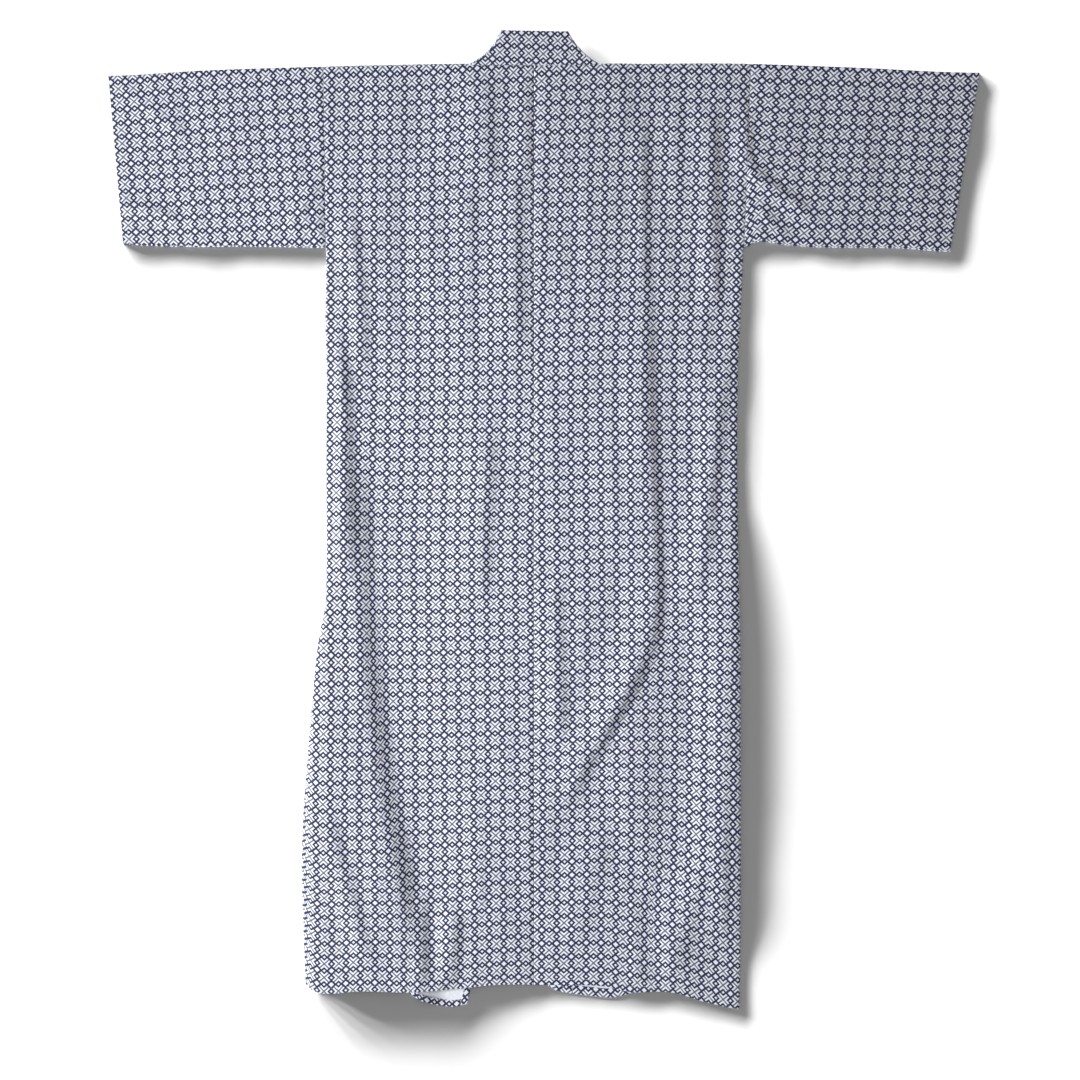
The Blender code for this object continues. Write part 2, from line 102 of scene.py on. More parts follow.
# The collar's folds beside the neck, where the band turns under to the fronts
COLLAR_TURN_DOWN = 50.0
COLLAR_BACK_LEVEL = 6.7
COLLAR_LEVEL = 1.0
COLLAR_PLY = 1.0
BOW_SHARE = 0.3
CollarFold = namedtuple("CollarFold", "seam_x free_x free_rise bow")
COLLAR_FOLDS = {-1: CollarFold(-108.5, -61.5, 49.2, 6.5), 1: CollarFold(80.5, 34.5, 47.4, 5.0)}

# How finely each piece is made
ROW_STEP = 6.0
NECK_COLUMNS = 18
ROUND_COLUMNS = 8
SHOULDER_ROWS = 8
FRONT_COLUMNS = {-1: (9, 6, 6, 6, 17), 1: (44,)}
ROW_MATCH = 0.01
ARMHOLE_BORDER = 9.0
OVERLAP_COLUMNS = 18
OVERLAP_END_COLUMNS = 8
SLEEVE_STATIONS = 60
SLEEVE_ROWS = 46
SLEEVE_TURN_ROWS = 6
COLLAR_STEP = 6.0
COLLAR_FACE_ROWS = 9
COLLAR_EDGE_ROWS = 3
COLLAR_TURN_COLUMNS = 8
BACK_HEM_COLUMNS = 60
FRONT_HEM_COLUMNS = {-1: 30, 1: 50}
OVERLAP_HEM_COLUMNS = 40
FREE_EDGE_ROWS = 110
STITCH_LINE_POINTS = 160

# The hidden tuck in the left front, which lifts the back panel over it
TUCK_STARTS_DOWN = 540.0
TUCK_CLOSED_DOWN = 790.0
TUCK_RAMP = 46.0
LEAST_BEND = 1e-3


def table(columns, *rows):
    """A short table with named columns."""
    row_type = namedtuple("Row", columns)
    return tuple(row_type(*row) for row in rows)


SHOULDER_LINE = table(
    "x down",
    (-653, 16.5), (-516, 9), (-420, 5.5), (-331, 3), (-230, 0.3), (-107, 0), (83, -0.8), (235, -2),
    (311, -1.2), (470, 4.5), (653, 12),
)
BACK_HEM = table(
    "x down",
    (-363, 1366), (-356, 1380), (-346, 1389), (-325, 1393.5), (-276, 1390), (-200, 1391.5), (-135, 1387),
    (-69, 1381), (8, 1381), (90, 1383), (132, 1392), (175, 1391), (200, 1394), (243, 1407), (295, 1416.5),
)
FRONT_HEMS = {
    -1: table(
        "x down",
        (-330, 1384), (-230, 1385), (-204, 1392), (-180, 1406), (-138, 1414), (-112, 1410),
    ),
    1: table(
        "x down",
        (-106, 1377), (0, 1379), (20, 1390), (64, 1397), (104, 1400), (130, 1394), (180, 1384), (295, 1386),
    ),
}
SIDE_LINES = table(
    "down left_x right_x left_round right_round",
    (279, -326, 298, 6, 6),
    (384, -327.5, 294, 6, 6),
    (450, -326, 291, 7, 7),
    (600, -326, 289.5, 8, 8),
    (800, -327, 292.5, 12, 11),
    (864, -338, 294, 20, 13),
    (960, -347.5, 294.5, 28, 15),
    (1100, -358.5, 294.5, 33, 16),
    (1220, -363, 294.5, 34, 16),
    (1320, -360, 294, 32, 14),
    (1395, -357, 292.5, 28, 12),
)
SLEEVES = table(
    "name side armhole_top_x armhole_low_x cuff_top_x cuff_low_x lower_edge",
    (
        "Sleeve_left", -1, -331, -327.5, -653, -631,
        ((-631, 272.5), (-558, 275.5), (-440, 275.5), (-327.5, 277)),
    ),
    (
        "Sleeve_right", 1, 310.5, 300.5, 653, 609,
        ((300.5, 277), (316, 269.5), (331, 268), (354, 272), (399, 276), (534, 278), (609, 283)),
    ),
)
TUCK = table(
    "down fold_x bend doubled",
    (300, -300, 3.6, 2),
    (444, -300, 3.6, 2),
    (744, -292, 5, 2),
    (879, -284, 6, 14),
    (1000, -272, 7, 32),
    (1104, -256, 7, 47),
    (1224, -230, 7, 64),
    (1300, -210, 6.5, 74.5),
    (1400, -193, 6, 88),
)

# Creases: a crest along its route, its height, and how far each side falls. This share of the
# route at each end is a taper.
CREASE_TAPER = 0.25
LARGE_CREASES = table(
    "route height fall_left fall_right",
    (((-92, 10), (-88, 90), (-86, 190)), 2.4, 46, 20),
    (((-46, 150), (-44, 290), (-42, 430)), 2.6, 46, 18),
    (
        ((148, 100), (150, 330), (152, 520), (160, 700), (163, 800), (150, 880), (110, 960),
         (60, 1050), (0, 1150)),
        4.6, 66, 22,
    ),
    (((250, 60), (251, 220), (256, 380)), 3.2, 34, 16),
    (((274, 400), (256, 560), (236, 720), (222, 820)), 3.0, 34, 22),
    (((-296, 220), (-286, 300), (-278, 380), (-274, 470)), 3.0, 30, 22),
    (((-314, 380), (-302, 520), (-300, 640), (-298, 790)), 4.6, 26, 22),
    (((150, 890), (118, 950), (88, 1004), (58, 1056), (26, 1119)), 2.2, 40, 14),
    (((-88, 560), (-92, 680), (-98, 820)), 2.8, 52, 22),
    (((14, 770), (18, 900), (22, 1020)), 2.6, 40, 18),
    (((276, 640), (274, 900), (268, 1150), (262, 1330)), 6.0, 70, 40),
    (((-330, 1120), (-300, 1230), (-262, 1360)), 2.6, 34, 22),
    (((-140, 1270), (-150, 1340), (-160, 1420)), 3.2, 26, 20),
    (((303, 50), (304, 110), (310, 156), (345, 184), (385, 214), (412, 238)), 3.0, 28, 10),
    (((-640, 214), (-590, 220), (-545, 236)), 2.4, 18, 14),
)
SMALL_CREASES = table(
    "route height fall_left fall_right",
    (((-28, 16), (-27, 90), (-28, 176)), 1.2, 24, 12),
    (((238, 340), (240, 440), (236, 545)), 1.4, 30, 18),
    (((-178, 1230), (-182, 1300), (-180, 1386)), 1.6, 20, 14),
    (((-128, 1270), (-132, 1325), (-140, 1385)), 2.0, 22, 13),
    (((-100, 1180), (-98, 1220), (-94, 1270)), 1.2, 18, 12),
    (((80, 1150), (66, 1230), (48, 1335)), 1.8, 60, 26),
    (((226, 1200), (210, 1280), (190, 1365)), 2.8, 50, 30),
    (((147, 90), (146, 200), (148, 350)), 1.5, 26, 13),
    (((62, 40), (60, 150), (62, 260)), 0.9, 20, 12),
    (((28, 120), (27, 220), (26, 330)), 0.8, 16, 10),
    (((200, 50), (198, 130), (200, 240)), 0.9, 22, 12),
    (((132, 830), (134, 1000), (136, 1170)), 2.0, 60, 56),
    (((-176, 120), (-174, 240), (-172, 380)), 1.0, 30, 26),
    (((-119, 180), (-118, 300), (-116, 430)), 0.9, 26, 20),
    (((-242, 140), (-240, 280), (-238, 430)), 0.8, 30, 26),
    (((88, 390), (96, 560), (110, 770)), 1.0, 30, 20),
    (((6, 450), (9, 540), (14, 640)), 0.9, 24, 14),
    (((-642, 26), (-580, 76), (-508, 134)), 1.0, 16, 12),
    (((-386, 212), (-378, 232), (-370, 254)), 0.8, 9, 7),
    (((-364, 208), (-357, 232), (-350, 256)), 1.0, 10, 8),
    (((-343, 174), (-354, 204), (-371, 230), (-390, 256)), 1.6, 12, 8),
    (((131, 1236), (135, 1310), (136, 1387)), 1.6, 10, 26),
    (((-346, 216), (-341, 238), (-337, 262)), 0.8, 8, 7),
    (((326, 214), (340, 238), (366, 260)), 1.5, 13, 9),
    (((314, 232), (322, 250), (336, 266)), 0.9, 8, 7),
)

# The share of the back's large creases that the fronts take under them
FRONT_SHARE = 0.45

# The slight unevenness of pressed cotton: waves across the cloth, with their own direction and start
COCKLE = table(
    "across along start height",
    (118, 560, 0.4, 0.26),
    (-86, 310, 1.9, 0.16),
    (57, -205, 3.1, 0.10),
    (-41, -96, 5.2, 0.06),
    (260, 71, 2.4, 0.07),
    (37, 1400, 0.9, 0.13),
    (29, -900, 2.2, 0.08),
)

# The print: size of its repeat on each piece, and where the first one falls
Print = namedtuple("Print", "across along start_across start_along")
PRINTS = {
    "Body_left": Print(21.8, 21.95, 10.9, 11.0),
    "Body_right": Print(22.25, 21.95, 12.0, 11.0),
    "Overlap_left": Print(22.2, 21.3, 6, 4),
    "Overlap_right": Print(22.2, 21.3, 3, 9),
    "Sleeve_left": Print(22.2, 21.9, 0, 0),
    "Sleeve_right": Print(23.7, 21.95, 0, 0),
    "Collar": Print(22.2, 21.3, 0, 0),
}
REPEAT = 22.0

# The body's rows draw closer together towards the hem
ROW_EASE = 3.1e-5

# On the back of the neck the collar's print is set by its place, and its rows fall to the right
COLLAR_BACK_PRINT = Print(21.7, 20.4, -12.0, 705.9)
COLLAR_PRINT_RISE = 77.0
COLLAR_PRINT_SLOPE = 0.037

# Washing and wear have drawn the print a little off the straight. On the body this is by distance
# down, with a pull on the rows beside the back seam; on a sleeve it is a lean and a slope.
BODY_DRIFT = {
    -1: table(
        "down across along pull",
        (0, 13.0, -4.0, 13.0), (250, 10.4, -3.0, 10.0), (450, 11.3, -1.2, 4.0),
        (590, 8.5, 0.0, 1.0), (720, 4.7, 2.0, 0.0), (860, 6.0, 5.0, 0.0),
        (1000, 7.2, 6.4, 0.0), (1200, 8.3, 7.4, 0.0), (1384, 9.6, 7.0, 0.0),
    ),
    1: table(
        "down across along pull",
        (0, -10.5, -0.5, -4.4), (180, -5.7, -0.8, -4.2), (320, -2.5, -2.0, -4.2),
        (450, 1.4, -2.6, -4.4), (720, 0.0, -3.4, -5.4), (860, -1.5, -2.2, -6.0),
        (1000, -1.6, 2.2, -8.0), (1130, -1.0, 4.4, -8.0), (1384, 0.8, 0.0, -4.0),
    ),
}
PULL_WIDTH = {-1: 200.0, 1: 170.0}

# Towards the side, past the large creases, the print is drawn further: from this reach outwards
SIDE_DRIFT = {
    -1: table(
        "down across along reach",
        (200, 0, 0, 225), (320, 0, 3.5, 225), (590, 0, 3.4, 225),
        (790, 4, 0.5, 215), (924, 5, -4.3, 215), (1060, 2.5, -8.0, 205),
        (1194, 2, -8.3, 185), (1261, 3, -2.0, 175), (1329, 2, 1.5, 170),
        (1384, 2, 2.0, 165),
    ),
    1: table(
        "down across along reach",
        (46, -2.5, -2.0, 200), (180, -3.2, -1.5, 200), (320, -0.5, 0, 190),
        (650, 0, 1.5, 165), (790, 0, 3.5, 165), (860, 0, 4.2, 165),
        (930, 0.5, 3.3, 165), (990, 1.5, 0.5, 165), (1127, 2.5, -3.5, 160),
        (1194, 3.0, -6.5, 160), (1261, 3.8, -8.0, 152), (1384, 2.0, -6.0, 148),
    ),
}
SIDE_DRIFT_WIDTH = 42.0
SleeveDrift = namedtuple("SleeveDrift", "across lean along slope")
SLEEVE_DRIFT = {
    -1: SleeveDrift(-9.0, 15.0, 3.5, -13.0),
    1: SleeveDrift(5.5, 11.0, -1.7, 1.5),
}

# How often the weave's thick threads repeat in a metre, along the warp and along the weft
SLUB_SCALES = ((900.0, 70.0, 1.0), (60.0, 800.0, 1.0))

# Stitches
STITCH_PITCH = 4.6
STITCH_LENGTH = 2.9
STITCH_WIDTH = 0.5
STITCH_HEIGHT = 0.34
STITCH_FROM_EDGE = 8.6
STITCH_FROM_BACK_SEAM = 3.0
STITCH_FROM_CORNER = 12.0
STITCH_FROM_FRONT_SEAM = 4.0
STITCH_FROM_COLLAR = 8.0

# Stage
FRAME_WIDTH = 1.62
VIEW_CENTRE = (-0.006, -0.033)
CAMERA_HEIGHT = 6.0
SENSOR = 36.0
KEY_PLACE = (-4.1, -0.9, 1.45)
KEY_SIZE = 1.1
OVERHEAD_PLACE = (-0.14, -0.08, 1.0)
OVERHEAD_SIZE = 0.6
LIT_MIDDLE = (-0.14, -0.08, 0)
SHADOW_FROM = (-0.72, 0.69, 0.086)
SHADOW_TURNS = (-0.3, -0.15, 0.0, 0.15, 0.3)
SHADOW_SOFTNESS = 0.08
FLOOR_REACH = 14.0
HORIZON = (0.12, 0.3)
VIEW_END = 60.0


# ---------------------------------------------------------------- shape


def smooth(position, stations, values):
    """A soft curve through a short table, level at both of its ends."""
    stations = np.asarray(stations, float)
    values = np.asarray(values, float)
    slopes = np.zeros(len(values))
    slopes[1:-1] = (values[2:] - values[:-2]) / (stations[2:] - stations[:-2])
    held = np.clip(position, stations[0], stations[-1])
    low = np.clip(np.searchsorted(stations, held, side="right") - 1, 0, len(stations) - 2)
    span = stations[low + 1] - stations[low]
    part = (held - stations[low]) / span
    rise = part * part * (3 - 2 * part)
    leave = part * (1 - part) ** 2 * span
    arrive = part * part * (part - 1) * span
    return values[low] * (1 - rise) + values[low + 1] * rise + slopes[low] * leave + slopes[low + 1] * arrive


def ease(amount):
    """0 below 0, 1 above 1, and a soft rise between."""
    part = np.clip(amount, 0, 1)
    return part * part * (3 - 2 * part)


def read(rows, position, name):
    """A column of a table, as a soft curve along the table's first column."""
    return smooth(position, [row[0] for row in rows], [getattr(row, name) for row in rows])


def stepped(start, end, step):
    """Evenly spaced numbers about a step apart, both ends among them."""
    return np.linspace(start, end, round(abs(end - start) / step) + 1)


def points(x, down, z):
    """Places of points from their x, distance down and height."""
    return np.stack([x, SHOULDER_Y - down, z], -1)


def shoulder_down(x):
    return read(SHOULDER_LINE, x, "down")


def hem_down(x, hem):
    return read(hem, x, "down")


def side_at(down, side, name):
    """x or roundness of the robe's left or right side."""
    return read(SIDE_LINES, down, ("left_" if side < 0 else "right_") + name)


def tuck_at(down, name):
    return read(TUCK, down, name)


def add_crease(total, x, down, crease):
    """Adds one crease's height to the points near its route."""
    marks = np.arange(len(crease.route), dtype=float)
    fine = np.linspace(0, marks[-1], 6 * len(marks))
    line_x = smooth(fine, marks, [point[0] for point in crease.route])
    line_down = smooth(fine, marks, [point[1] for point in crease.route])
    reach = max(crease.fall_left, crease.fall_right)
    near = (x > line_x.min() - reach) & (x < line_x.max() + reach)
    near &= (down > line_down.min() - reach) & (down < line_down.max() + reach)
    if not near.any():
        return
    px, pd = x[near], down[near]
    best = np.full(px.shape, np.inf)
    added = np.zeros(px.shape)
    for index in range(len(fine) - 1):
        along_x = line_x[index + 1] - line_x[index]
        along_down = line_down[index + 1] - line_down[index]
        length = np.hypot(along_x, along_down)
        part = ((px - line_x[index]) * along_x + (pd - line_down[index]) * along_down) / length**2
        held = np.clip(part, 0, 1)
        off_x = px - line_x[index] - held * along_x
        off_down = pd - line_down[index] - held * along_down
        distance = np.hypot(off_x, off_down)
        right = off_x * along_down - off_down * along_x > 0
        fall = np.where(right, crease.fall_right, crease.fall_left)
        way = (index + held) / (len(fine) - 1)
        taper = ease(way / CREASE_TAPER) * ease((1 - way) / CREASE_TAPER)
        height = crease.height * taper * (1 - ease(distance / fall))
        nearer = distance < best
        added = np.where(nearer, height, added)
        best = np.where(nearer, distance, best)
    total[near] += added


def crease_height(x, down, creases):
    """The height that the creases add at each point."""
    x, down = np.broadcast_arrays(np.asarray(x, float), np.asarray(down, float))
    total = np.zeros(x.shape)
    for crease in creases:
        add_crease(total, x, down, crease)
    return total


def cockle(x, down):
    """The slight waves of pressed cotton."""
    total = 0.0
    for wave in COCKLE:
        total = total + wave.height * np.sin(2 * np.pi * (x / wave.across + down / wave.along) + wave.start)
    return total


def collar_seam_x(down, side):
    """Where the collar joins the front, for the left front at side -1 and the right at 1."""
    return NECK_X[side] - side * (COLLAR_SLOPE * down + COLLAR_BEND * down * down)


def tuck_bend(down):
    """How far the tuck's cloth turns back on itself, from nearly 0 to half a turn."""
    turn = np.pi * ease((down - TUCK_STARTS_DOWN) / (TUCK_CLOSED_DOWN - TUCK_STARTS_DOWN))
    return np.maximum(turn, LEAST_BEND)


def tuck_swell(x, down):
    """The lift of the cloth above the tuck, level over it and falling to its right."""
    turn = tuck_bend(down)
    radius = tuck_at(down, "bend") / turn
    rise = 2 * radius * (1 - np.cos(turn)) + tuck_at(down, "doubled") * np.sin(turn)
    edge = tuck_at(down, "fold_x") + radius * np.sin(turn / 2)
    return rise * (1 - ease((x - edge) / TUCK_RAMP))


def free_edge_x(down, side):
    """The free edge of a front. The tuck draws the left one back towards its side."""
    if side > 0:
        return BACK_SEAM_X - FREE_EDGE_REACH + np.zeros(np.shape(down))
    turn = tuck_bend(down)
    bend = tuck_at(down, "bend")
    doubled = tuck_at(down, "doubled")
    taken = 2 * bend + doubled - 2 * bend / turn * np.sin(turn) - doubled * np.cos(turn)
    return BACK_SEAM_X + FREE_EDGE_REACH - taken


def front_lift(x, down):
    """A front rises a little under the large creases of the back above it."""
    fade = ease((down - FIRST_DOWN) / SHOULDER_FADE) * ease((LAST_DOWN - down) / HEM_FADE)
    return FRONT_SHARE * crease_height(x, down, LARGE_CREASES) * fade


def level_right(x, down):
    """Mid height of the right front, which lies over the left one and drops past its edge."""
    past_left = ease((x - free_edge_x(down, -1) - COVER_START) / COVER_RAMP)
    return CLOTH / 2 + LAYER_STEP * (1 - past_left)


def level_back(x, down):
    """Mid height of the back before its creases."""
    over_left = 1 - ease((x - free_edge_x(down, -1) - COVER_START) / BACK_RAMP)
    over_right = 1 - ease((free_edge_x(down, 1) - COVER_START - x) / BACK_RAMP)
    return CLOTH / 2 + LAYER_STEP * (1 + over_left * over_right) + tuck_swell(x, down)


def armhole_x(sleeve, part):
    """The armhole seam, from the shoulder at 0 to the underarm at 1."""
    return sleeve.armhole_top_x + (sleeve.armhole_low_x - sleeve.armhole_top_x) * part


def seam_dip(x, down):
    """The small trough along the centre back seam and the two armhole seams."""
    dip = np.exp(-(((x - BACK_SEAM_X) / SEAM_DIP_WIDTH) ** 2))
    for sleeve in SLEEVES:
        above = 1 - ease((down - UNDERARM_DOWN) / SEAM_FADE)
        from_seam = x - armhole_x(sleeve, down / UNDERARM_DOWN)
        dip = dip + above * np.exp(-((from_seam / SEAM_DIP_WIDTH) ** 2))
    return -SEAM_DIP * dip


def back_height(x, down):
    """Mid height of the back, with its creases and seams."""
    fade = ease((down - FIRST_DOWN) / SHOULDER_FADE)
    creases = crease_height(x, down, LARGE_CREASES + SMALL_CREASES)
    return level_back(x, down) + (creases + cockle(x, down)) * fade + seam_dip(x, down)


def overlap_height(x, down, side):
    """Mid height of a front overlap, and of the right front beside it."""
    if side > 0:
        return level_right(x, down) + front_lift(x, down)
    return CLOTH / 2 + tuck_swell(x, down)


def floor_height(x, down):
    """Mid height of cloth that lies on the floor."""
    return np.full(np.shape(x), CLOTH / 2)


# ---------------------------------------------------------------- cloth meshes


def add_cloth(sheet, places, cloth_uv, printed_up, keep=None):
    """Adds a grid of cloth to a bmesh. The first kept cell's printed side faces up, or down."""
    across, along = places.shape[0] - 1, places.shape[1] - 1
    uv_layer = sheet.loops.layers.uv.verify()
    made = bmesh.ops.create_grid(sheet, x_segments=across, y_segments=along, size=1)["verts"]
    cells = {}
    for vertex in made:
        cells[vertex] = (
            round((vertex.co.x + 1) / 2 * across),
            round((vertex.co.y + 1) / 2 * along),
        )
    faces = {face for vertex in made for face in vertex.link_faces}
    dropped, kept = [], []
    for face in faces:
        column_at = min(cells[vertex][0] for vertex in face.verts)
        row_at = min(cells[vertex][1] for vertex in face.verts)
        if keep is None or keep[column_at, row_at]:
            kept.append((column_at, row_at, face))
        else:
            dropped.append(face)
    for vertex in made:
        vertex.co = places[cells[vertex]] * MM
    for _, _, face in kept:
        for loop in face.loops:
            loop[uv_layer].uv = cloth_uv[cells[loop.vert]] * MM
    bmesh.ops.delete(sheet, geom=dropped, context="FACES")
    first = min(kept, key=lambda cell: cell[:2])[2]
    first.normal_update()
    if (first.normal.z > 0) != printed_up:
        bmesh.ops.reverse_faces(sheet, faces=[face for _, _, face in kept])
    living = [vertex for vertex in made if vertex.is_valid]
    bmesh.ops.remove_doubles(sheet, verts=living, dist=1e-5)


def add_object(name, data):
    """Places an object in the scene, unturned and at its origin."""
    obj = bpy.data.objects.new(name, data)
    bpy.context.scene.collection.objects.link(obj)
    return obj


def mesh_object(name, sheet, materials):
    """Makes a smooth-shaded object of a bmesh, and frees it."""
    mesh = bpy.data.meshes.new(name)
    sheet.normal_update()
    sheet.to_mesh(mesh)
    sheet.free()
    for material in materials:
        mesh.materials.append(material)
    mesh.shade_smooth()
    return add_object(name, mesh)


def cloth_object(name, sheet, thickness, materials, inner_slot):
    """Makes the piece: a shell of that thickness whose inner side takes another material slot."""
    obj = mesh_object(name, sheet, materials)
    solidify = obj.modifiers.new("Cloth", "SOLIDIFY")
    solidify.thickness = thickness
    solidify.offset = 0
    solidify.use_rim = True
    solidify.material_offset = inner_slot
    weighted = obj.modifiers.new("Flat edges", "WEIGHTED_NORMAL")
    weighted.mode = "FACE_AREA"
    weighted.weight = 80
    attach(obj, "root")
    return obj


def printed(name, across, along):
    """Cloth coordinates for a piece, so that its print has its own start and repeat."""
    chart = PRINTS[name]
    return np.stack([
        (across - chart.start_across) * REPEAT / chart.across,
        (along - chart.start_along) * REPEAT / chart.along,
    ], -1)


def spread(start, end, count):
    """Evenly spaced positions along each row, as a table of columns by rows."""
    return start + (end - start) * np.linspace(0, 1, count + 1)[:, None]


def spread_from_seam(start, end, count):
    """As spread, with two narrow columns beside the seam at the start."""
    steps = np.concatenate([[0, 1.4, 3.4], np.linspace(7, 100, count - 2)])[:, None] / 100
    return start + (end - start) * steps


def arc_length(places):
    """Distance along the columns of each row, from the first column."""
    steps = np.linalg.norm(np.diff(places, axis=0), axis=2)
    return np.concatenate([np.zeros((1, places.shape[1])), np.cumsum(steps, axis=0)])


def way_along(line):
    """Distance along one line of points, from its first."""
    return arc_length(line[:, None])[:, 0]


def rows_from(start, level):
    """The rows from a start to the hem, with one at that level."""
    above = stepped(start, level, ROW_STEP)
    return np.concatenate([above, stepped(level, LAST_DOWN, ROW_STEP)[1:]])


def row_downs(x, row_down, hem):
    """Bends the straight rows so that the first follows the shoulder and the last the hem."""
    part = (row_down - FIRST_DOWN) / (LAST_DOWN - FIRST_DOWN)
    top = shoulder_down(x) + FIRST_DOWN
    low = hem_down(x, hem)
    return row_down + (top - FIRST_DOWN) * (1 - part) ** 3 + (low - LAST_DOWN) * part**3


def tucked_path(down, start_x, end_x, counts):
    """Columns across a front that doubles back on itself: x and rise of each, by row."""
    turn = tuck_bend(down)
    bend = tuck_at(down, "bend")
    doubled = tuck_at(down, "doubled")
    radius = bend / turn
    fold_x = tuck_at(down, "fold_x")
    under_x = spread(start_x, fold_x, counts[0])
    first = turn * np.linspace(0, 1, counts[1] + 1)[1:, None]
    turn_x = fold_x + radius * np.sin(first)
    turn_rise = radius * (1 - np.cos(first))
    back = doubled * np.linspace(0, 1, counts[2] + 1)[1:, None]
    back_x = turn_x[-1] + back * np.cos(turn)
    back_rise = turn_rise[-1] + back * np.sin(turn)
    second = turn * np.linspace(1, 0, counts[3] + 1)[1:, None]
    over_x = back_x[-1] + radius * (np.sin(turn) - np.sin(second))
    over_rise = back_rise[-1] + radius * (np.cos(second) - np.cos(turn))
    last_x = spread(over_x[-1], end_x, counts[4])[1:]
    xs = np.concatenate([under_x, turn_x, back_x, over_x, last_x])
    rises = np.concatenate([np.zeros(under_x.shape), turn_rise, back_rise, over_rise,
                            tuck_swell(last_x, down)])
    return xs, rises


def front_columns(side, downs, inner_x):
    """x and mid height of a front's columns, from the side inwards."""
    seam = collar_seam_x(downs, side)
    overlap = free_edge_x(downs, side) + side * OVERLAP_WIDTH
    end_x = np.minimum(seam, overlap) if side < 0 else np.maximum(seam, overlap)
    end_x = end_x + side * SEAM_GAP / 2
    if side < 0:
        xs, rises = tucked_path(downs, inner_x, end_x, FRONT_COLUMNS[side])
        return xs, CLOTH / 2 + rises
    xs = spread(inner_x, end_x, sum(FRONT_COLUMNS[side]))
    return xs, level_right(xs, downs[None, :]) + front_lift(xs, downs[None, :])


def panel_sides(downs, side):
    """x of a body panel's outer edge in each row, the width of its round, and the armhole rows."""
    in_armhole = downs < UNDERARM_DOWN - ROW_MATCH
    seam_x = armhole_x(SLEEVES[0 if side < 0 else 1], downs / UNDERARM_DOWN)
    edge_x = side_at(downs, side, "x")
    roundness = side_at(downs, side, "round")
    edge_x = np.where(in_armhole, seam_x - side * SEAM_GAP, edge_x)
    roundness = np.where(in_armhole, ARMHOLE_BORDER, roundness)
    return edge_x, roundness, in_armhole


def hem_corner_x(side):
    """Where the flat cloth of a panel's hem ends and its soft side starts."""
    edge_x, roundness, _ = panel_sides(np.array([LAST_DOWN]), side)
    return (edge_x - side * roundness)[0]


def body_panel(name, side, materials, thickness):
    """One length of cloth from the back hem over the shoulder to the front hem."""
    flat_columns = sum(FRONT_COLUMNS[side])
    columns = NECK_COLUMNS + flat_columns + ROUND_COLUMNS
    downs = rows_from(FIRST_DOWN, UNDERARM_DOWN)
    rows = len(downs)
    edge_x, roundness, in_armhole = panel_sides(downs, side)
    inner_x = edge_x - side * roundness
    seam_x = np.full(rows, BACK_SEAM_X + side * SEAM_GAP / 2)
    neck_x = np.full(rows, NECK_X[side])

    # Back: from the centre seam out to the side
    back_x = np.concatenate([
        spread_from_seam(seam_x, neck_x, NECK_COLUMNS),
        spread(neck_x, inner_x, flat_columns)[1:],
    ])
    row_down = downs[None, :] + np.zeros(back_x.shape)
    back_down = row_downs(back_x, row_down, BACK_HEM)
    back_z = back_height(back_x, back_down)

    # Front: from the side in to the collar or the overlap seam
    front_x, front_z = front_columns(side, downs, inner_x)
    front_row = downs[None, :] + np.zeros(front_x.shape)
    front_down = row_downs(front_x, front_row, FRONT_HEMS[side])

    # Side: a soft round from the back to the front, met at its outermost line
    first_front = rows + SHOULDER_ROWS - 1
    places = np.zeros((columns + 1, first_front + rows, 3))
    top_z, low_z = back_z[-1], front_z[0]
    for step in range(1, ROUND_COLUMNS + 1):
        angle = np.pi / 2 * step / ROUND_COLUMNS
        over_x = inner_x + side * roundness * np.sin(angle)
        middle = (top_z + low_z) / 2
        lift = (top_z - low_z) / 2 * np.cos(angle)
        side_down = row_downs(over_x, downs, BACK_HEM)
        at = NECK_COLUMNS + flat_columns + step
        upper_z = np.where(in_armhole, back_height(over_x, downs), middle + lift)
        lower_z = np.where(in_armhole, low_z, middle - lift)
        places[at, :rows] = points(over_x, side_down, upper_z)[::-1]
        places[at, first_front:] = points(over_x, side_down, lower_z)
    body = NECK_COLUMNS + flat_columns + 1
    places[:body, :rows] = points(back_x, back_down, back_z)[:, ::-1]
    places[NECK_COLUMNS:body, first_front:] = points(front_x, front_down, front_z)[::-1]
    shoulder_arc(places, rows)

    keep = np.ones((columns, places.shape[1] - 1), bool)
    keep[:NECK_COLUMNS, rows - 1:] = False
    sheet = bmesh.new()
    add_cloth(sheet, places, panel_uv(name, side, places, downs), True, keep)
    return cloth_object(name, sheet, thickness, materials, 1)


def shoulder_arc(places, rows):
    """Rounds the cloth over the shoulder, from the back's first row to the front's."""
    top = places[:, rows - 1].copy()
    low = places[:, rows - 1 + SHOULDER_ROWS].copy()
    for step in range(1, SHOULDER_ROWS):
        angle = np.pi * step / SHOULDER_ROWS
        places[:, rows - 1 + step, 0] = top[:, 0] + (low[:, 0] - top[:, 0]) * step / SHOULDER_ROWS
        reach = (top[:, 2] - low[:, 2]) / 2
        places[:, rows - 1 + step, 1] = (top[:, 1] + low[:, 1]) / 2 + reach * np.sin(angle)
        places[:, rows - 1 + step, 2] = (top[:, 2] + low[:, 2]) / 2 + reach * np.cos(angle)


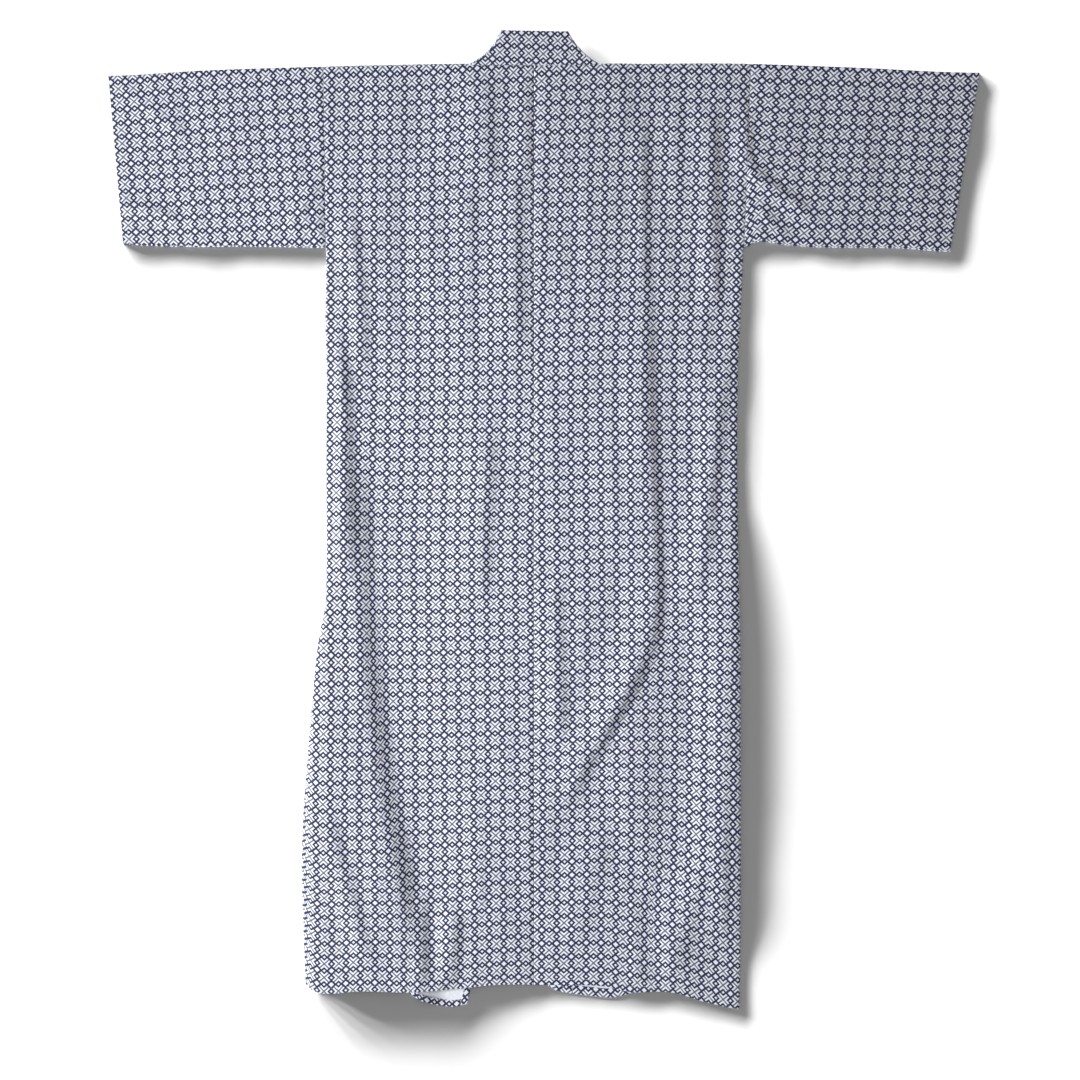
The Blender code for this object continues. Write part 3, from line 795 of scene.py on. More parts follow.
def panel_uv(name, side, places, downs):
    """Cloth coordinates of a body panel: across from the centre seam, along from the shoulder."""
    rows = len(downs)
    first_front = rows + SHOULDER_ROWS - 1
    across = np.zeros(places.shape[:2])
    across[:, :rows] = arc_length(places[:, :rows])
    side_across = across[-1, :rows][::-1]
    from_side = arc_length(places[::-1, first_front:])[::-1]
    across[:, first_front:] = side_across - from_side
    for step in range(1, SHOULDER_ROWS):
        part = step / SHOULDER_ROWS
        across[:, rows - 1 + step] = across[:, rows - 1] * (1 - part) + across[:, first_front] * part
    over = np.linspace(FIRST_DOWN, -2 * FIRST_DOWN, SHOULDER_ROWS + 1)[1:-1]
    along = np.concatenate([downs[::-1], over, -downs - FIRST_DOWN])[None, :] + np.zeros(across.shape)
    depth = np.abs(along)
    from_seam = across
    beside_seam = ease(1 - from_seam / PULL_WIDTH[side])
    body, sides = (partial(read, rows, depth) for rows in (BODY_DRIFT[side], SIDE_DRIFT[side]))
    beside_side = ease((from_seam - sides("reach")) / SIDE_DRIFT_WIDTH)
    across = across + body("across") + sides("across") * beside_side
    slid = body("along") + body("pull") * beside_seam + sides("along") * beside_side
    return printed(name, across, along * (1 + ROW_EASE * depth) + slid)


def overlap_piece(name, side, materials, thickness):
    """The strip sewn to a front: it starts in a point under the collar and ends at the hem."""
    downs = rows_from(OVERLAP_TOP_DOWNS[side], COLLAR_END_DOWN)
    free_x = free_edge_x(downs, side)
    sewn_x = free_x + side * (OVERLAP_WIDTH - SEAM_GAP / 2)
    end_drift = np.where(downs > COLLAR_END_DOWN, free_x - free_edge_x(COLLAR_END_DOWN, side), 0)
    collar_x = collar_seam_x(np.minimum(downs, COLLAR_END_DOWN), side) + end_drift + side * SEAM_GAP / 2
    xs = np.concatenate([
        spread(sewn_x, collar_x, OVERLAP_COLUMNS),
        spread(collar_x, free_x, OVERLAP_END_COLUMNS)[1:],
    ])
    row_down = downs[None, :] + np.zeros(xs.shape)
    bent_down = row_downs(xs, row_down, FRONT_HEMS[side])
    places = points(xs, bent_down, overlap_height(xs, row_down, side))
    keep = np.ones((OVERLAP_COLUMNS + OVERLAP_END_COLUMNS, len(downs) - 1), bool)
    keep[OVERLAP_COLUMNS:, downs[:-1] < COLLAR_END_DOWN - ROW_MATCH] = False
    sheet = bmesh.new()
    add_cloth(sheet, places, printed(name, arc_length(places), row_down), False, keep)
    return cloth_object(name, sheet, thickness, materials, 1)


def sleeve_grid(sleeve, stations):
    """x and down of a sleeve's flat layer, by station and row, from the shoulder to the lower edge."""
    fold = np.linspace(0, 1, SLEEVE_ROWS + 1)[None, :]
    armhole = armhole_x(sleeve, fold)
    cuff = sleeve.cuff_top_x + (sleeve.cuff_low_x - sleeve.cuff_top_x) * fold
    xs = armhole + (cuff - armhole) * stations[:, None]
    top = shoulder_down(xs) + FIRST_DOWN
    low = smooth(xs, *zip(*sleeve.lower_edge)) - FIRST_DOWN
    return xs, top + (low - top) * fold


def sleeve_ring(sleeve, stations, inset):
    """Rings of a sleeve from its lower seam up, over the shoulder fold and back down beneath."""
    xs, downs = sleeve_grid(sleeve, stations)
    upper = points(xs, downs, back_height(xs, downs) - inset)
    under = points(xs, downs, floor_height(xs, downs) + inset)
    over_fold = round_edge(upper[:, 0], under[:, 0], 1)
    over_seam = round_edge(under[:, -1], upper[:, -1], -1)
    places = np.concatenate([upper[:, ::-1], over_fold, under, over_seam, upper[:, -1:]], axis=1)
    along = way_along(places[0])
    return places, along[SLEEVE_ROWS] - along


def sleeve_tube(sleeve, materials, thickness):
    """A tube folded at the shoulder and sewn along its lower edge, open at armhole and cuff."""
    stations = np.linspace(0, 1, SLEEVE_STATIONS + 1)
    places, along = sleeve_ring(sleeve, stations, 0.0)
    sheet = bmesh.new()
    add_cloth(sheet, places, sleeve_uv(sleeve, places, along, stations), True)
    return cloth_object(sleeve.name, sheet, thickness, materials, 1)


def sleeve_uv(sleeve, places, along, stations):
    """Cloth coordinates of a sleeve: across from the armhole, along from the shoulder fold."""
    drift = SLEEVE_DRIFT[sleeve.side]
    lean = drift.lean * np.minimum(np.abs(along) / UNDERARM_DOWN, 1)
    across = arc_length(places) + drift.across + lean[None, :]
    return printed(sleeve.name, across, along[None, :] + drift.along + drift.slope * stations[:, None])


def round_edge(start, end, way):
    """The points of a soft round between two layers, bulging along Y by half their distance."""
    turns = []
    reach = np.abs(start[:, 2] - end[:, 2]) / 2
    for step in range(1, SLEEVE_TURN_ROWS):
        angle = np.pi * step / SLEEVE_TURN_ROWS
        point = start + (end - start) * (1 - np.cos(angle)) / 2
        point[:, 1] += way * reach * np.sin(angle)
        turns.append(point)
    return np.stack(turns, axis=1)


def collar_front(side):
    """Seam and free-edge points of a front stretch of the band, from its end to the neck."""
    downs = stepped(COLLAR_END_DOWN - COLLAR_END_GAP, COLLAR_TURN_DOWN, COLLAR_STEP)
    seam_x = collar_seam_x(downs, side) - side * SEAM_GAP / 2
    lean = -side * (COLLAR_SLOPE + 2 * COLLAR_BEND * downs)
    length = np.hypot(1, lean)
    free_x = seam_x - side * COLLAR_WIDTH / length
    free_y = SHOULDER_Y - downs - side * lean * COLLAR_WIDTH / length
    return np.stack([seam_x, SHOULDER_Y - downs], -1), np.stack([free_x, free_y], -1)


def collar_level(edge, side):
    """Mid height of the band under an edge of it: on the floor at the left, on the right front at 1."""
    if side < 0:
        return np.full(len(edge), COLLAR_LEVEL)
    return level_right(edge[:, 0], SHOULDER_Y - edge[:, 1]) + COLLAR_LEVEL - CLOTH / 2


def neckline_y(x):
    """The seam of the collar's back stretch."""
    return SHOULDER_Y - shoulder_down(x) - FIRST_DOWN + 2 * SEAM_GAP


def collar_half(side):
    """Seam and free-edge points of half of the band, from its end to past the fold at the neck."""
    fold = COLLAR_FOLDS[side]
    fold_seam = np.array([fold.seam_x, neckline_y(fold.seam_x)])
    fold_free = np.array([fold.free_x, SHOULDER_Y + fold.free_rise])
    along = (fold_free - fold_seam) / np.linalg.norm(fold_free - fold_seam)
    outward = np.array([along[1], -along[0]]) * side
    neck_columns = round(COLLAR_TURN_DOWN / COLLAR_STEP)
    steps = np.linspace(0, 1, neck_columns + 1)[1:, None]
    edges = []
    for edge, fold_end in zip(collar_front(side), (fold_seam, fold_free)):
        edge = np.concatenate([edge, edge[-1] + (fold_end - edge[-1]) * steps])
        flat = np.column_stack([edge, collar_level(edge, side)])
        radius = (COLLAR_BACK_LEVEL - flat[-1, 2]) / 2
        angles = np.pi * np.arange(1, COLLAR_TURN_COLUMNS + 1)[:, None] / COLLAR_TURN_COLUMNS
        turned = np.hstack([
            fold_end + outward * radius * np.sin(angles),
            flat[-1, 2] + radius * (1 - np.cos(angles)),
        ])
        edges.append(np.concatenate([flat, turned]))
    bow = np.concatenate([
        fold.bow * ease(np.linspace(0, 1, neck_columns)),
        np.full(COLLAR_TURN_COLUMNS, fold.bow),
    ])
    bows = np.zeros((len(edges[0]), 2))
    bows[-len(bow):] = -outward * bow[:, None]
    return edges, bows


def collar_faces():
    """Seam edge, free edge and sideways bow of every column of the band, and where its back starts."""
    (left, left_bow), (right, right_bow) = collar_half(-1), collar_half(1)
    span = np.linalg.norm(right[0][-1] - left[0][-1])
    back_columns = round(span / COLLAR_STEP)
    part = np.linspace(0, 1, back_columns + 1)[1:-1, None]
    edges = []
    for left_edge, right_edge in zip(left, right):
        across = left_edge[-1] + (right_edge[-1] - left_edge[-1]) * part
        edges.append(np.concatenate([left_edge, across, right_edge[::-1]]))
    seam, free = edges
    sewn = len(left[0])
    seam[sewn:-sewn, 1] = neckline_y(seam[sewn:-sewn, 0])
    near_left, near_right = (ease(1 - away / BOW_SHARE) for away in (part, 1 - part))
    across_bow = left_bow[-1] * near_left + right_bow[-1] * near_right
    bows = np.concatenate([left_bow, across_bow, right_bow[::-1]])
    return seam, free, bows, sewn


def collar_band(materials, thickness):
    """The band, folded lengthwise: up the left front, over at the neck and down the right."""
    seam, free, bows, sewn = collar_faces()
    part = np.linspace(0, 1, COLLAR_FACE_ROWS + 1)[None, :, None]
    face = seam[:, None] + (free - seam)[:, None] * part
    face[:, :, :2] += 4 * bows[:, None] * part * (1 - part)
    along = np.gradient(face, axis=0)
    across = (free - seam) / np.linalg.norm(free - seam, axis=1)[:, None]
    normal = np.cross(across[:, None], along)
    normal /= np.linalg.norm(normal, axis=2)[:, :, None]
    half = COLLAR_PLY / 2
    outer = face + normal * half
    inner = face - normal * half
    turns = []
    for step in range(1, COLLAR_EDGE_ROWS):
        angle = np.pi * step / COLLAR_EDGE_ROWS
        turns.append(free + normal[:, -1] * half * np.cos(angle) + across * half * np.sin(angle))
    places = np.concatenate([outer, np.stack(turns, axis=1), inner[:, ::-1]], axis=1)
    sheet = bmesh.new()
    add_cloth(sheet, places, collar_uv(seam, free, places, sewn), False)
    return cloth_object("Collar", sheet, thickness, materials, 0)


def collar_uv(seam, free, places, sewn):
    """Cloth coordinates of the band: along its length in front, and by its place on the back stretch."""
    middle = (seam + free) / 2
    index = np.arange(len(seam))
    fold = np.where(index < len(seam) // 2, sewn - 1, len(seam) - sewn)
    length = way_along(middle)
    length = (length - length[fold]) / PRINTS["Collar"].across
    length = length + (middle[fold, 0] - COLLAR_BACK_PRINT.start_across) / COLLAR_BACK_PRINT.across
    width = arc_length(places.transpose(1, 0, 2)).T - COLLAR_PRINT_RISE
    front = np.stack([length[:, None] + np.zeros(width.shape), width / PRINTS["Collar"].along], -1)
    from_x = places[:, :, 0] - COLLAR_BACK_PRINT.start_across
    rise = places[:, :, 1] - COLLAR_BACK_PRINT.start_along + COLLAR_PRINT_SLOPE * from_x
    at_free = rise[:, COLLAR_FACE_ROWS:COLLAR_FACE_ROWS + 1]
    lower_ply = np.arange(width.shape[1])[None, :] <= COLLAR_FACE_ROWS
    rise = -np.where(lower_ply, 2 * at_free - rise, rise)
    back = np.stack([from_x / COLLAR_BACK_PRINT.across, rise / COLLAR_BACK_PRINT.along], -1)
    into_back = np.minimum(index, index[::-1]) - (sewn - 1 - COLLAR_TURN_COLUMNS)
    share = np.clip(into_back / COLLAR_TURN_COLUMNS, 0, 1)[:, None, None]
    return REPEAT * (share * back + (1 - share) * front)


# ---------------------------------------------------------------- hem turnings


def turning_insets(width):
    """Distances from the folded edge, close together at the fold and at the raw edge."""
    return np.array([0.0, 0.8, 2.0, width * 0.5, width - 0.8, width])


def turning_lift(insets):
    """The turning rises from the fold and lies flat beside the panel."""
    return TURNING_LIFT * ease((insets + 1.2) / 3.0)


def hem_strip(sheet, name, xs, hem, height, inward, width):
    """A turning along a hem: height gives the panel's mid height, inward is 1 above it, -1 below."""
    insets = turning_insets(width)
    at_x = xs[:, None] + np.zeros((1, len(insets)))
    downs = hem_down(at_x, hem) - insets[None, :]
    places = points(at_x, downs, height(at_x, downs) + inward * turning_lift(insets)[None, :])
    along = way_along(xs[:, None])[:, None] + np.zeros(at_x.shape)
    add_cloth(sheet, places, printed(name, along, downs * 0 + insets[None, :]), inward > 0)


def free_edge_strip(sheet, name, side):
    """The turning along an overlap's free edge, from the collar's end to the hem."""
    insets = turning_insets(HEM_TURNING)
    rows = np.linspace(COLLAR_END_DOWN + 2, LAST_DOWN - 1, FREE_EDGE_ROWS)
    row_down = rows[:, None] + np.zeros((1, len(insets)))
    at_x = free_edge_x(row_down, side) + side * insets[None, :]
    downs = row_downs(at_x, row_down, FRONT_HEMS[side])
    places = points(at_x, downs, overlap_height(at_x, row_down, side) + turning_lift(insets)[None, :])
    add_cloth(sheet, places, printed(name, insets[None, :] + np.zeros(at_x.shape), row_down), True)


def body_hem(name, side, material, thickness):
    """The back hem's turning, inside the robe, and the front hem's beside the side seam."""
    inner_x = hem_corner_x(side)
    sheet = bmesh.new()
    back_xs = np.linspace(BACK_SEAM_X + side * HEM_FROM_SEAM, inner_x, BACK_HEM_COLUMNS)
    hem_strip(sheet, name, back_xs, BACK_HEM, back_height, -1, HEM_TURNING)
    if side > 0:
        ends = free_edge_x(LAST_DOWN, 1) + OVERLAP_WIDTH + SEAM_GAP, inner_x
        height = partial(overlap_height, side=1)
    else:
        ends = inner_x, tuck_at(LAST_DOWN, "fold_x") - HEM_FROM_FOLD
        height = floor_height
    front_xs = np.linspace(*ends, FRONT_HEM_COLUMNS[side])
    hem_strip(sheet, name, front_xs, FRONT_HEMS[side], height, 1, FRONT_HEM_TURNINGS[side])
    return cloth_object(name + "_hem", sheet, thickness, [material], 0)


def overlap_hem(name, side, material, thickness):
    """The turnings of an overlap: its hem and its free edge."""
    sheet = bmesh.new()
    insets = np.linspace(HEM_TURNING + SEAM_GAP, OVERLAP_WIDTH - SEAM_GAP, OVERLAP_HEM_COLUMNS)
    xs = free_edge_x(LAST_DOWN, side) + side * insets
    height = partial(overlap_height, side=side)
    hem_strip(sheet, name, xs, FRONT_HEMS[side], height, 1, FRONT_HEM_TURNINGS[side])
    free_edge_strip(sheet, name, side)
    return cloth_object(name + "_hem", sheet, thickness, [material], 0)


def inset_station(sleeve, inset):
    """The station of a sleeve that lies that far in from the cuff."""
    return 1 - inset / abs(sleeve.cuff_top_x - sleeve.armhole_top_x)


def cuff_hem(sleeve, material, thickness):
    """The cuff's turning, a ring inside the sleeve's end."""
    stations = inset_station(sleeve, turning_insets(CUFF_TURNING))
    places, along = sleeve_ring(sleeve, stations, TURNING_LIFT)
    sheet = bmesh.new()
    add_cloth(sheet, places, sleeve_uv(sleeve, places, along, stations), False)
    return cloth_object(sleeve.name + "_hem", sheet, thickness, [material], 0)


# ---------------------------------------------------------------- stitches


def add_stitches(sheet, line):
    """Stitches along a line on the cloth, a pitch apart."""
    way = way_along(line)
    starts = np.arange(STITCH_PITCH / 2, way[-1] - STITCH_PITCH / 2, STITCH_PITCH)
    for start in starts:
        ends = [
            Vector([np.interp(at, way, line[:, axis]) for axis in range(3)])
            for at in (start - STITCH_LENGTH / 2, start + STITCH_LENGTH / 2)
        ]
        middle = (ends[0] + ends[1]) / 2
        turn = (ends[1] - ends[0]).to_track_quat("X", "Z").to_matrix().to_4x4()
        size = Matrix.Diagonal((STITCH_LENGTH / 2, STITCH_WIDTH / 2, STITCH_HEIGHT / 2, 1))
        place = Matrix.Scale(MM, 4) @ Matrix.Translation(middle) @ turn @ size
        bmesh.ops.create_icosphere(sheet, subdivisions=1, radius=1, matrix=place)


def hem_line(x_start, x_end, hem, height, lift):
    """A line of stitches along a hem, on cloth of that mid height."""
    xs = np.linspace(x_start, x_end, STITCH_LINE_POINTS)
    downs = hem_down(xs, hem) - STITCH_FROM_EDGE
    return points(xs, downs, height(xs, downs) + lift)


def stitch_object(name, rows, material):
    sheet = bmesh.new()
    for row in rows:
        add_stitches(sheet, row)
    obj = mesh_object(name + "_stitches", sheet, [material])
    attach(obj, "root")
    return obj


def body_stitches(name, side, material):
    start_x = BACK_SEAM_X + side * STITCH_FROM_BACK_SEAM
    row = hem_line(start_x, hem_corner_x(side), BACK_HEM, back_height, CLOTH / 2)
    return stitch_object(name, [row], material)


def overlap_stitches(name, side, material):
    """Rows on the inner side of an overlap, along its hem and its free edge."""
    lift = CLOTH / 2 + TURNING_LIFT
    free_x = free_edge_x(LAST_DOWN, side)
    height = partial(overlap_height, side=side)
    start_x = free_x + side * STITCH_FROM_CORNER
    end_x = free_x + side * (OVERLAP_WIDTH - STITCH_FROM_FRONT_SEAM)
    hem_row = hem_line(start_x, end_x, FRONT_HEMS[side], height, lift)
    start_down, end_down = COLLAR_END_DOWN + STITCH_FROM_COLLAR, LAST_DOWN - STITCH_FROM_CORNER
    row_down = np.linspace(start_down, end_down, STITCH_LINE_POINTS)
    xs = free_edge_x(row_down, side) + side * STITCH_FROM_EDGE
    downs = row_downs(xs, row_down, FRONT_HEMS[side])
    edge_row = points(xs, downs, height(xs, row_down) + lift)
    return stitch_object(name, [hem_row, edge_row], material)


def cuff_stitches(sleeve, material):
    """A row round the cuff's upper layer."""
    xs, downs = sleeve_grid(sleeve, np.array([inset_station(sleeve, STITCH_FROM_EDGE)]))
    row = points(xs, downs, back_height(xs, downs) + CLOTH / 2)[0]
    return stitch_object(sleeve.name, [row], material)


# ---------------------------------------------------------------- materials


def new_group(name, inputs, outputs):
    """A shader node group on cloth coordinates, whose sockets are given as name, type and default."""
    group = bpy.data.node_groups.new(name, "ShaderNodeTree")
    for label, kind, default in inputs:
        socket = group.interface.new_socket(label, in_out="INPUT", socket_type=kind)
        if default is not None:
            socket.default_value = default
    for label, kind in outputs:
        group.interface.new_socket(label, in_out="OUTPUT", socket_type=kind)
    put = group.nodes.new("NodeGroupInput").outputs
    end = group.nodes.new("NodeGroupOutput")
    split = wire(group, group.nodes.new("ShaderNodeSeparateXYZ"), {0: put["Cloth"]})
    return group, put, split.outputs, end


def wire(tree, node, inputs):
    """Connects or sets a node's inputs: a socket is linked, anything else is a value."""
    for key, value in inputs.items():
        if isinstance(value, bpy.types.NodeSocket):
            tree.links.new(value, node.inputs[key])
        else:
            node.inputs[key].default_value = value
    return node


def math(tree, operation, first, second=0.5, third=0.5):
    """The result of a Math node."""
    node = tree.nodes.new("ShaderNodeMath")
    node.operation = operation
    return wire(tree, node, {0: first, 1: second, 2: third}).outputs[0]


def soft_band(tree, distance, half_width, softness):
    """1 within half_width of a line and 0 outside, with a soft edge."""
    node = tree.nodes.new("ShaderNodeMapRange")
    node.interpolation_type = "SMOOTHSTEP"
    near = math(tree, "SUBTRACT", half_width, softness)
    far = math(tree, "ADD", half_width, softness)
    wire(tree, node, {"Value": distance, "From Min": near, "From Max": far, "To Min": 1.0, "To Max": 0.0})
    return node.outputs["Result"]


def noise(tree, vector, scale, detail=2.0, roughness=0.5):
    node = tree.nodes.new("ShaderNodeTexNoise")
    return wire(tree, node, {"Vector": vector, "Scale": scale, "Detail": detail, "Roughness": roughness})


def diamond_print_group():
    """The printed repeat: large and small diamonds, with a lattice and fine crosses between them."""
    group, put, cloth, end = new_group(
        "Diamond print",
        [
            ("Cloth", "NodeSocketVector", None),
            ("Repeat", "NodeSocketFloat", 0.022),
            ("Ring", "NodeSocketFloat", 0.285),
            ("Ring Line", "NodeSocketFloat", 0.1),
            ("Lattice", "NodeSocketFloat", 0.31),
            ("Lattice Line", "NodeSocketFloat", 0.087),
            ("Fine Line", "NodeSocketFloat", 0.07),
            ("Softness", "NodeSocketFloat", 0.01),
            ("Bleed", "NodeSocketFloat", 0.03),
        ],
        [("Ink", "NodeSocketFloat"), ("Fine Ink", "NodeSocketFloat")],
    )
    bleed = noise(group, put["Cloth"], 900.0).outputs["Fac"]
    bleed = math(group, "MULTIPLY", math(group, "SUBTRACT", bleed, 0.5), put["Bleed"])
    across, along = (math(group, "DIVIDE", cloth[axis], put["Repeat"]) for axis in (0, 1))
    from_centre = math(group, "ADD", *(math(group, "PINGPONG", way, 0.5) for way in (across, along)))
    rising = math(group, "PINGPONG", math(group, "ADD", across, along), 0.5)
    falling = math(group, "PINGPONG", math(group, "SUBTRACT", across, along), 0.5)
    diagonal = math(group, "MINIMUM", rising, falling)
    ring_off = math(group, "ABSOLUTE", math(group, "SUBTRACT", from_centre, put["Ring"]))
    lattice_off = math(group, "ABSOLUTE", math(group, "SUBTRACT", diagonal, put["Lattice"]))
    ring = soft_band(group, ring_off, math(group, "ADD", put["Ring Line"], bleed), put["Softness"])
    lattice_line = math(group, "ADD", put["Lattice Line"], bleed)
    lattice = soft_band(group, lattice_off, lattice_line, put["Softness"])
    fine_line = math(group, "ADD", put["Fine Line"], math(group, "MULTIPLY", bleed, 0.5))
    fine = soft_band(group, diagonal, fine_line, put["Softness"])
    outside = math(group, "GREATER_THAN", from_centre, put["Ring"])
    wire(group, end, {
        "Ink": math(group, "MAXIMUM", ring, lattice),
        "Fine Ink": math(group, "MULTIPLY", fine, outside),
    })
    return group


def weave_group():
    """Plain weave: threads over and under, uneven in thickness."""
    group, put, cloth, end = new_group(
        "Plain weave",
        [("Cloth", "NodeSocketVector", None), ("Thread", "NodeSocketFloat", 0.0006)],
        [("Height", "NodeSocketFloat"), ("Slub", "NodeSocketFloat")],
    )
    turn = math(group, "DIVIDE", np.pi, put["Thread"])
    warp, weft = (math(group, "SINE", math(group, "MULTIPLY", cloth[axis], turn)) for axis in (0, 1))
    threads = math(group, "MULTIPLY_ADD", math(group, "MULTIPLY", warp, weft), 0.5, 0.5)
    slubs = []
    for scale in SLUB_SCALES:
        stretch = wire(group, group.nodes.new("ShaderNodeMapping"), {"Vector": put["Cloth"], "Scale": scale})
        slubs.append(noise(group, stretch.outputs[0], 1.0, 3.0).outputs["Fac"])
    slub = math(group, "MULTIPLY_ADD", math(group, "ADD", *slubs), 0.5, 0.0)
    height = math(group, "MULTIPLY_ADD", slub, 0.8, math(group, "MULTIPLY", threads, 0.5))
    wire(group, end, {"Height": height, "Slub": slub})
    return group


def mix_colour(tree, share, first, second):
    node = tree.nodes.new("ShaderNodeMix")
    node.data_type = "RGBA"
    wire(tree, node, {0: share, 6: first, 7: second})
    return node.outputs[2]


def place_group(tree, group, inputs):
    node = tree.nodes.new("ShaderNodeGroup")
    node.node_tree = group
    return wire(tree, node, inputs)


def new_material(name):
    """A material with nodes, its tree and its shader."""
    material = bpy.data.materials.new(name)
    material.use_nodes = True
    tree = material.node_tree
    return material, tree, tree.nodes["Principled BSDF"]


def bump(tree, height, strength):
    """Fine relief of a tenth of a millimetre."""
    node = tree.nodes.new("ShaderNodeBump")
    return wire(tree, node, {"Height": height, "Strength": strength, "Distance": 0.0001}).outputs[0]


def opaque(colour):
    return (*colour, 1)


def cotton(name, cloth, groups, ink_strength, roughness):
    """Printed cotton: the ground, the ink in the print's mask, and the weave as fine relief."""
    material, tree, shader = new_material(name)
    coordinates = tree.nodes.new("ShaderNodeUVMap").outputs["UV"]
    chart = place_group(tree, groups["print"], {"Cloth": coordinates, "Repeat": REPEAT * MM})
    weave = place_group(tree, groups["weave"], {"Cloth": coordinates, "Thread": cloth.thread})
    slub = weave.outputs["Slub"]
    fine = math(tree, "MULTIPLY", chart.outputs["Fine Ink"], cloth.fine_ink)
    ink = math(tree, "MAXIMUM", chart.outputs["Ink"], fine)
    worn = math(tree, "MULTIPLY_ADD", slub, -0.16, 1.06)
    ink = math(tree, "MULTIPLY", ink, math(tree, "MULTIPLY", worn, ink_strength))
    patchy = noise(tree, coordinates, 14.0, 3.0).outputs["Fac"]
    shade = math(tree, "MULTIPLY_ADD", patchy, 0.6, math(tree, "MULTIPLY", slub, 0.4))
    ground = mix_colour(tree, shade, opaque(cloth.ground_shade), opaque(cloth.ground))
    wire(tree, shader, {
        "Base Color": mix_colour(tree, ink, ground, opaque(cloth.ink)),
        "Roughness": math(tree, "MULTIPLY_ADD", slub, 0.1, roughness - 0.05),
        "Normal": bump(tree, weave.outputs["Height"], 0.25),
        "Specular IOR Level": 0.25,
        "Sheen Weight": 0.12,
        "Sheen Roughness": 0.5,
    })
    return material


def thread_material(cloth):
    """White sewing thread, twisted."""
    material, tree, shader = new_material("Sewing thread")
    coordinates = tree.nodes.new("ShaderNodeTexCoord").outputs["Object"]
    twist = noise(tree, coordinates, 2500.0).outputs["Fac"]
    wire(tree, shader, {
        "Base Color": mix_colour(tree, twist, opaque(cloth.ground_shade), opaque(cloth.ground)),
        "Normal": bump(tree, twist, 0.3),
        "Roughness": 0.8,
    })
    return material


def backdrop_material(colour):
    """Matt paper."""
    material, tree, shader = new_material("Studio paper")
    coordinates = tree.nodes.new("ShaderNodeTexCoord").outputs["Object"]
    grain = noise(tree, coordinates, 3.0).outputs["Fac"]
    light = tuple(min(1.0, part * 1.01) for part in colour)
    wire(tree, shader, {
        "Base Color": mix_colour(tree, grain, opaque(colour), opaque(light)),
        "Roughness": 0.95,
        "Specular IOR Level": 0.1,
    })
    return material


# ---------------------------------------------------------------- settings


class YukataCloth(bpy.types.PropertyGroup):
    """Sizes and colours of the cloth."""

    thickness: FloatProperty(
        name="Cloth Thickness", description="Thickness of the cloth shells",
        default=CLOTH * MM, min=0.0003, max=0.002, precision=5, unit="LENGTH",
    )
    collar_thickness: FloatProperty(
        name="Collar Ply", description="Thickness of each ply of the folded collar band",
        default=COLLAR_CLOTH * MM, min=0.0003, max=0.002, precision=5, unit="LENGTH",
    )
    thread: FloatProperty(
        name="Thread Pitch", description="Distance between the threads of the weave",
        default=0.0006, min=0.0002, max=0.003, precision=5, unit="LENGTH",
    )
    ground: FloatVectorProperty(
        name="Ground", description="Colour of the unprinted cotton",
        default=(0.865, 0.895, 0.955), min=0, max=1, subtype="COLOR",
    )
    ground_shade: FloatVectorProperty(
        name="Ground Shade", description="Colour of the cotton where its threads are thin",
        default=(0.785, 0.81, 0.885), min=0, max=1, subtype="COLOR",
    )
    ink: FloatVectorProperty(
        name="Ink", description="Colour of the print",
        default=(0.013, 0.015, 0.078), min=0, max=1, subtype="COLOR",
    )
    fine_ink: FloatProperty(
        name="Fine Line Ink", description="Strength of the print's fine crosses",
        default=0.85, min=0, max=1, subtype="FACTOR",
    )
    reverse_ink: FloatProperty(
        name="Ink on the Reverse", description="How much of the print shows through on the reverse side",
        default=0.07, min=0, max=1, subtype="FACTOR",
    )


class YukataStage(bpy.types.PropertyGroup):
    """The studio round the robe."""

    key_power: FloatProperty(
        name="Key Light", description="Power of the soft light from the left",
        default=340, min=0, unit="POWER",
    )
    overhead_power: FloatProperty(
        name="Overhead Light", description="Power of the soft light above the middle of the back",
        default=2.7, min=0, unit="POWER",
    )
    shadow_light: FloatProperty(
        name="Floor Light", description="Strength of the low lights that only the floor receives",
        default=36, min=0,
    )
    surround: FloatProperty(
        name="Surround", description="Strength of the even light from above", default=0.22, min=0,
    )
    paper: FloatVectorProperty(
        name="Paper", description="Colour of the floor",
        default=(0.93, 0.93, 0.93), min=0, max=1, subtype="COLOR",
    )


def cloth_materials(cloth):
    """Printed side, reverse side and thread, made once."""
    if "Printed cotton" not in bpy.data.materials:
        groups = {"print": diamond_print_group(), "weave": weave_group()}
        cotton("Printed cotton", cloth, groups, 1.0, 0.88)
        cotton("Reverse of the cotton", cloth, groups, cloth.reverse_ink, 0.9)
        thread_material(cloth)
    names = ("Printed cotton", "Reverse of the cotton", "Sewing thread")
    return [bpy.data.materials[name] for name in names]


# ---------------------------------------------------------------- operators


class YUKATA_OT_body(bpy.types.Operator):
    """Make the two body panels, with their hem turnings and stitches"""

    bl_idname = "yukata.body"
    bl_label = "Body Panels"

    def execute(self, context):
        cloth = context.scene.yukata_cloth
        outside, reverse, thread = cloth_materials(cloth)
        cuts = {"Body_left": (-1, 0.33, 0.86), "Body_right": (1, 0.315, 0.80)}
        for name, (side, width, area) in cuts.items():
            panel = body_panel(name, side, (outside, reverse), cloth.thickness)
            hem = body_hem(name, side, outside, cloth.thickness / 2)
            stitches = body_stitches(name, side, thread)
            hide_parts(name)
        return {"FINISHED"}


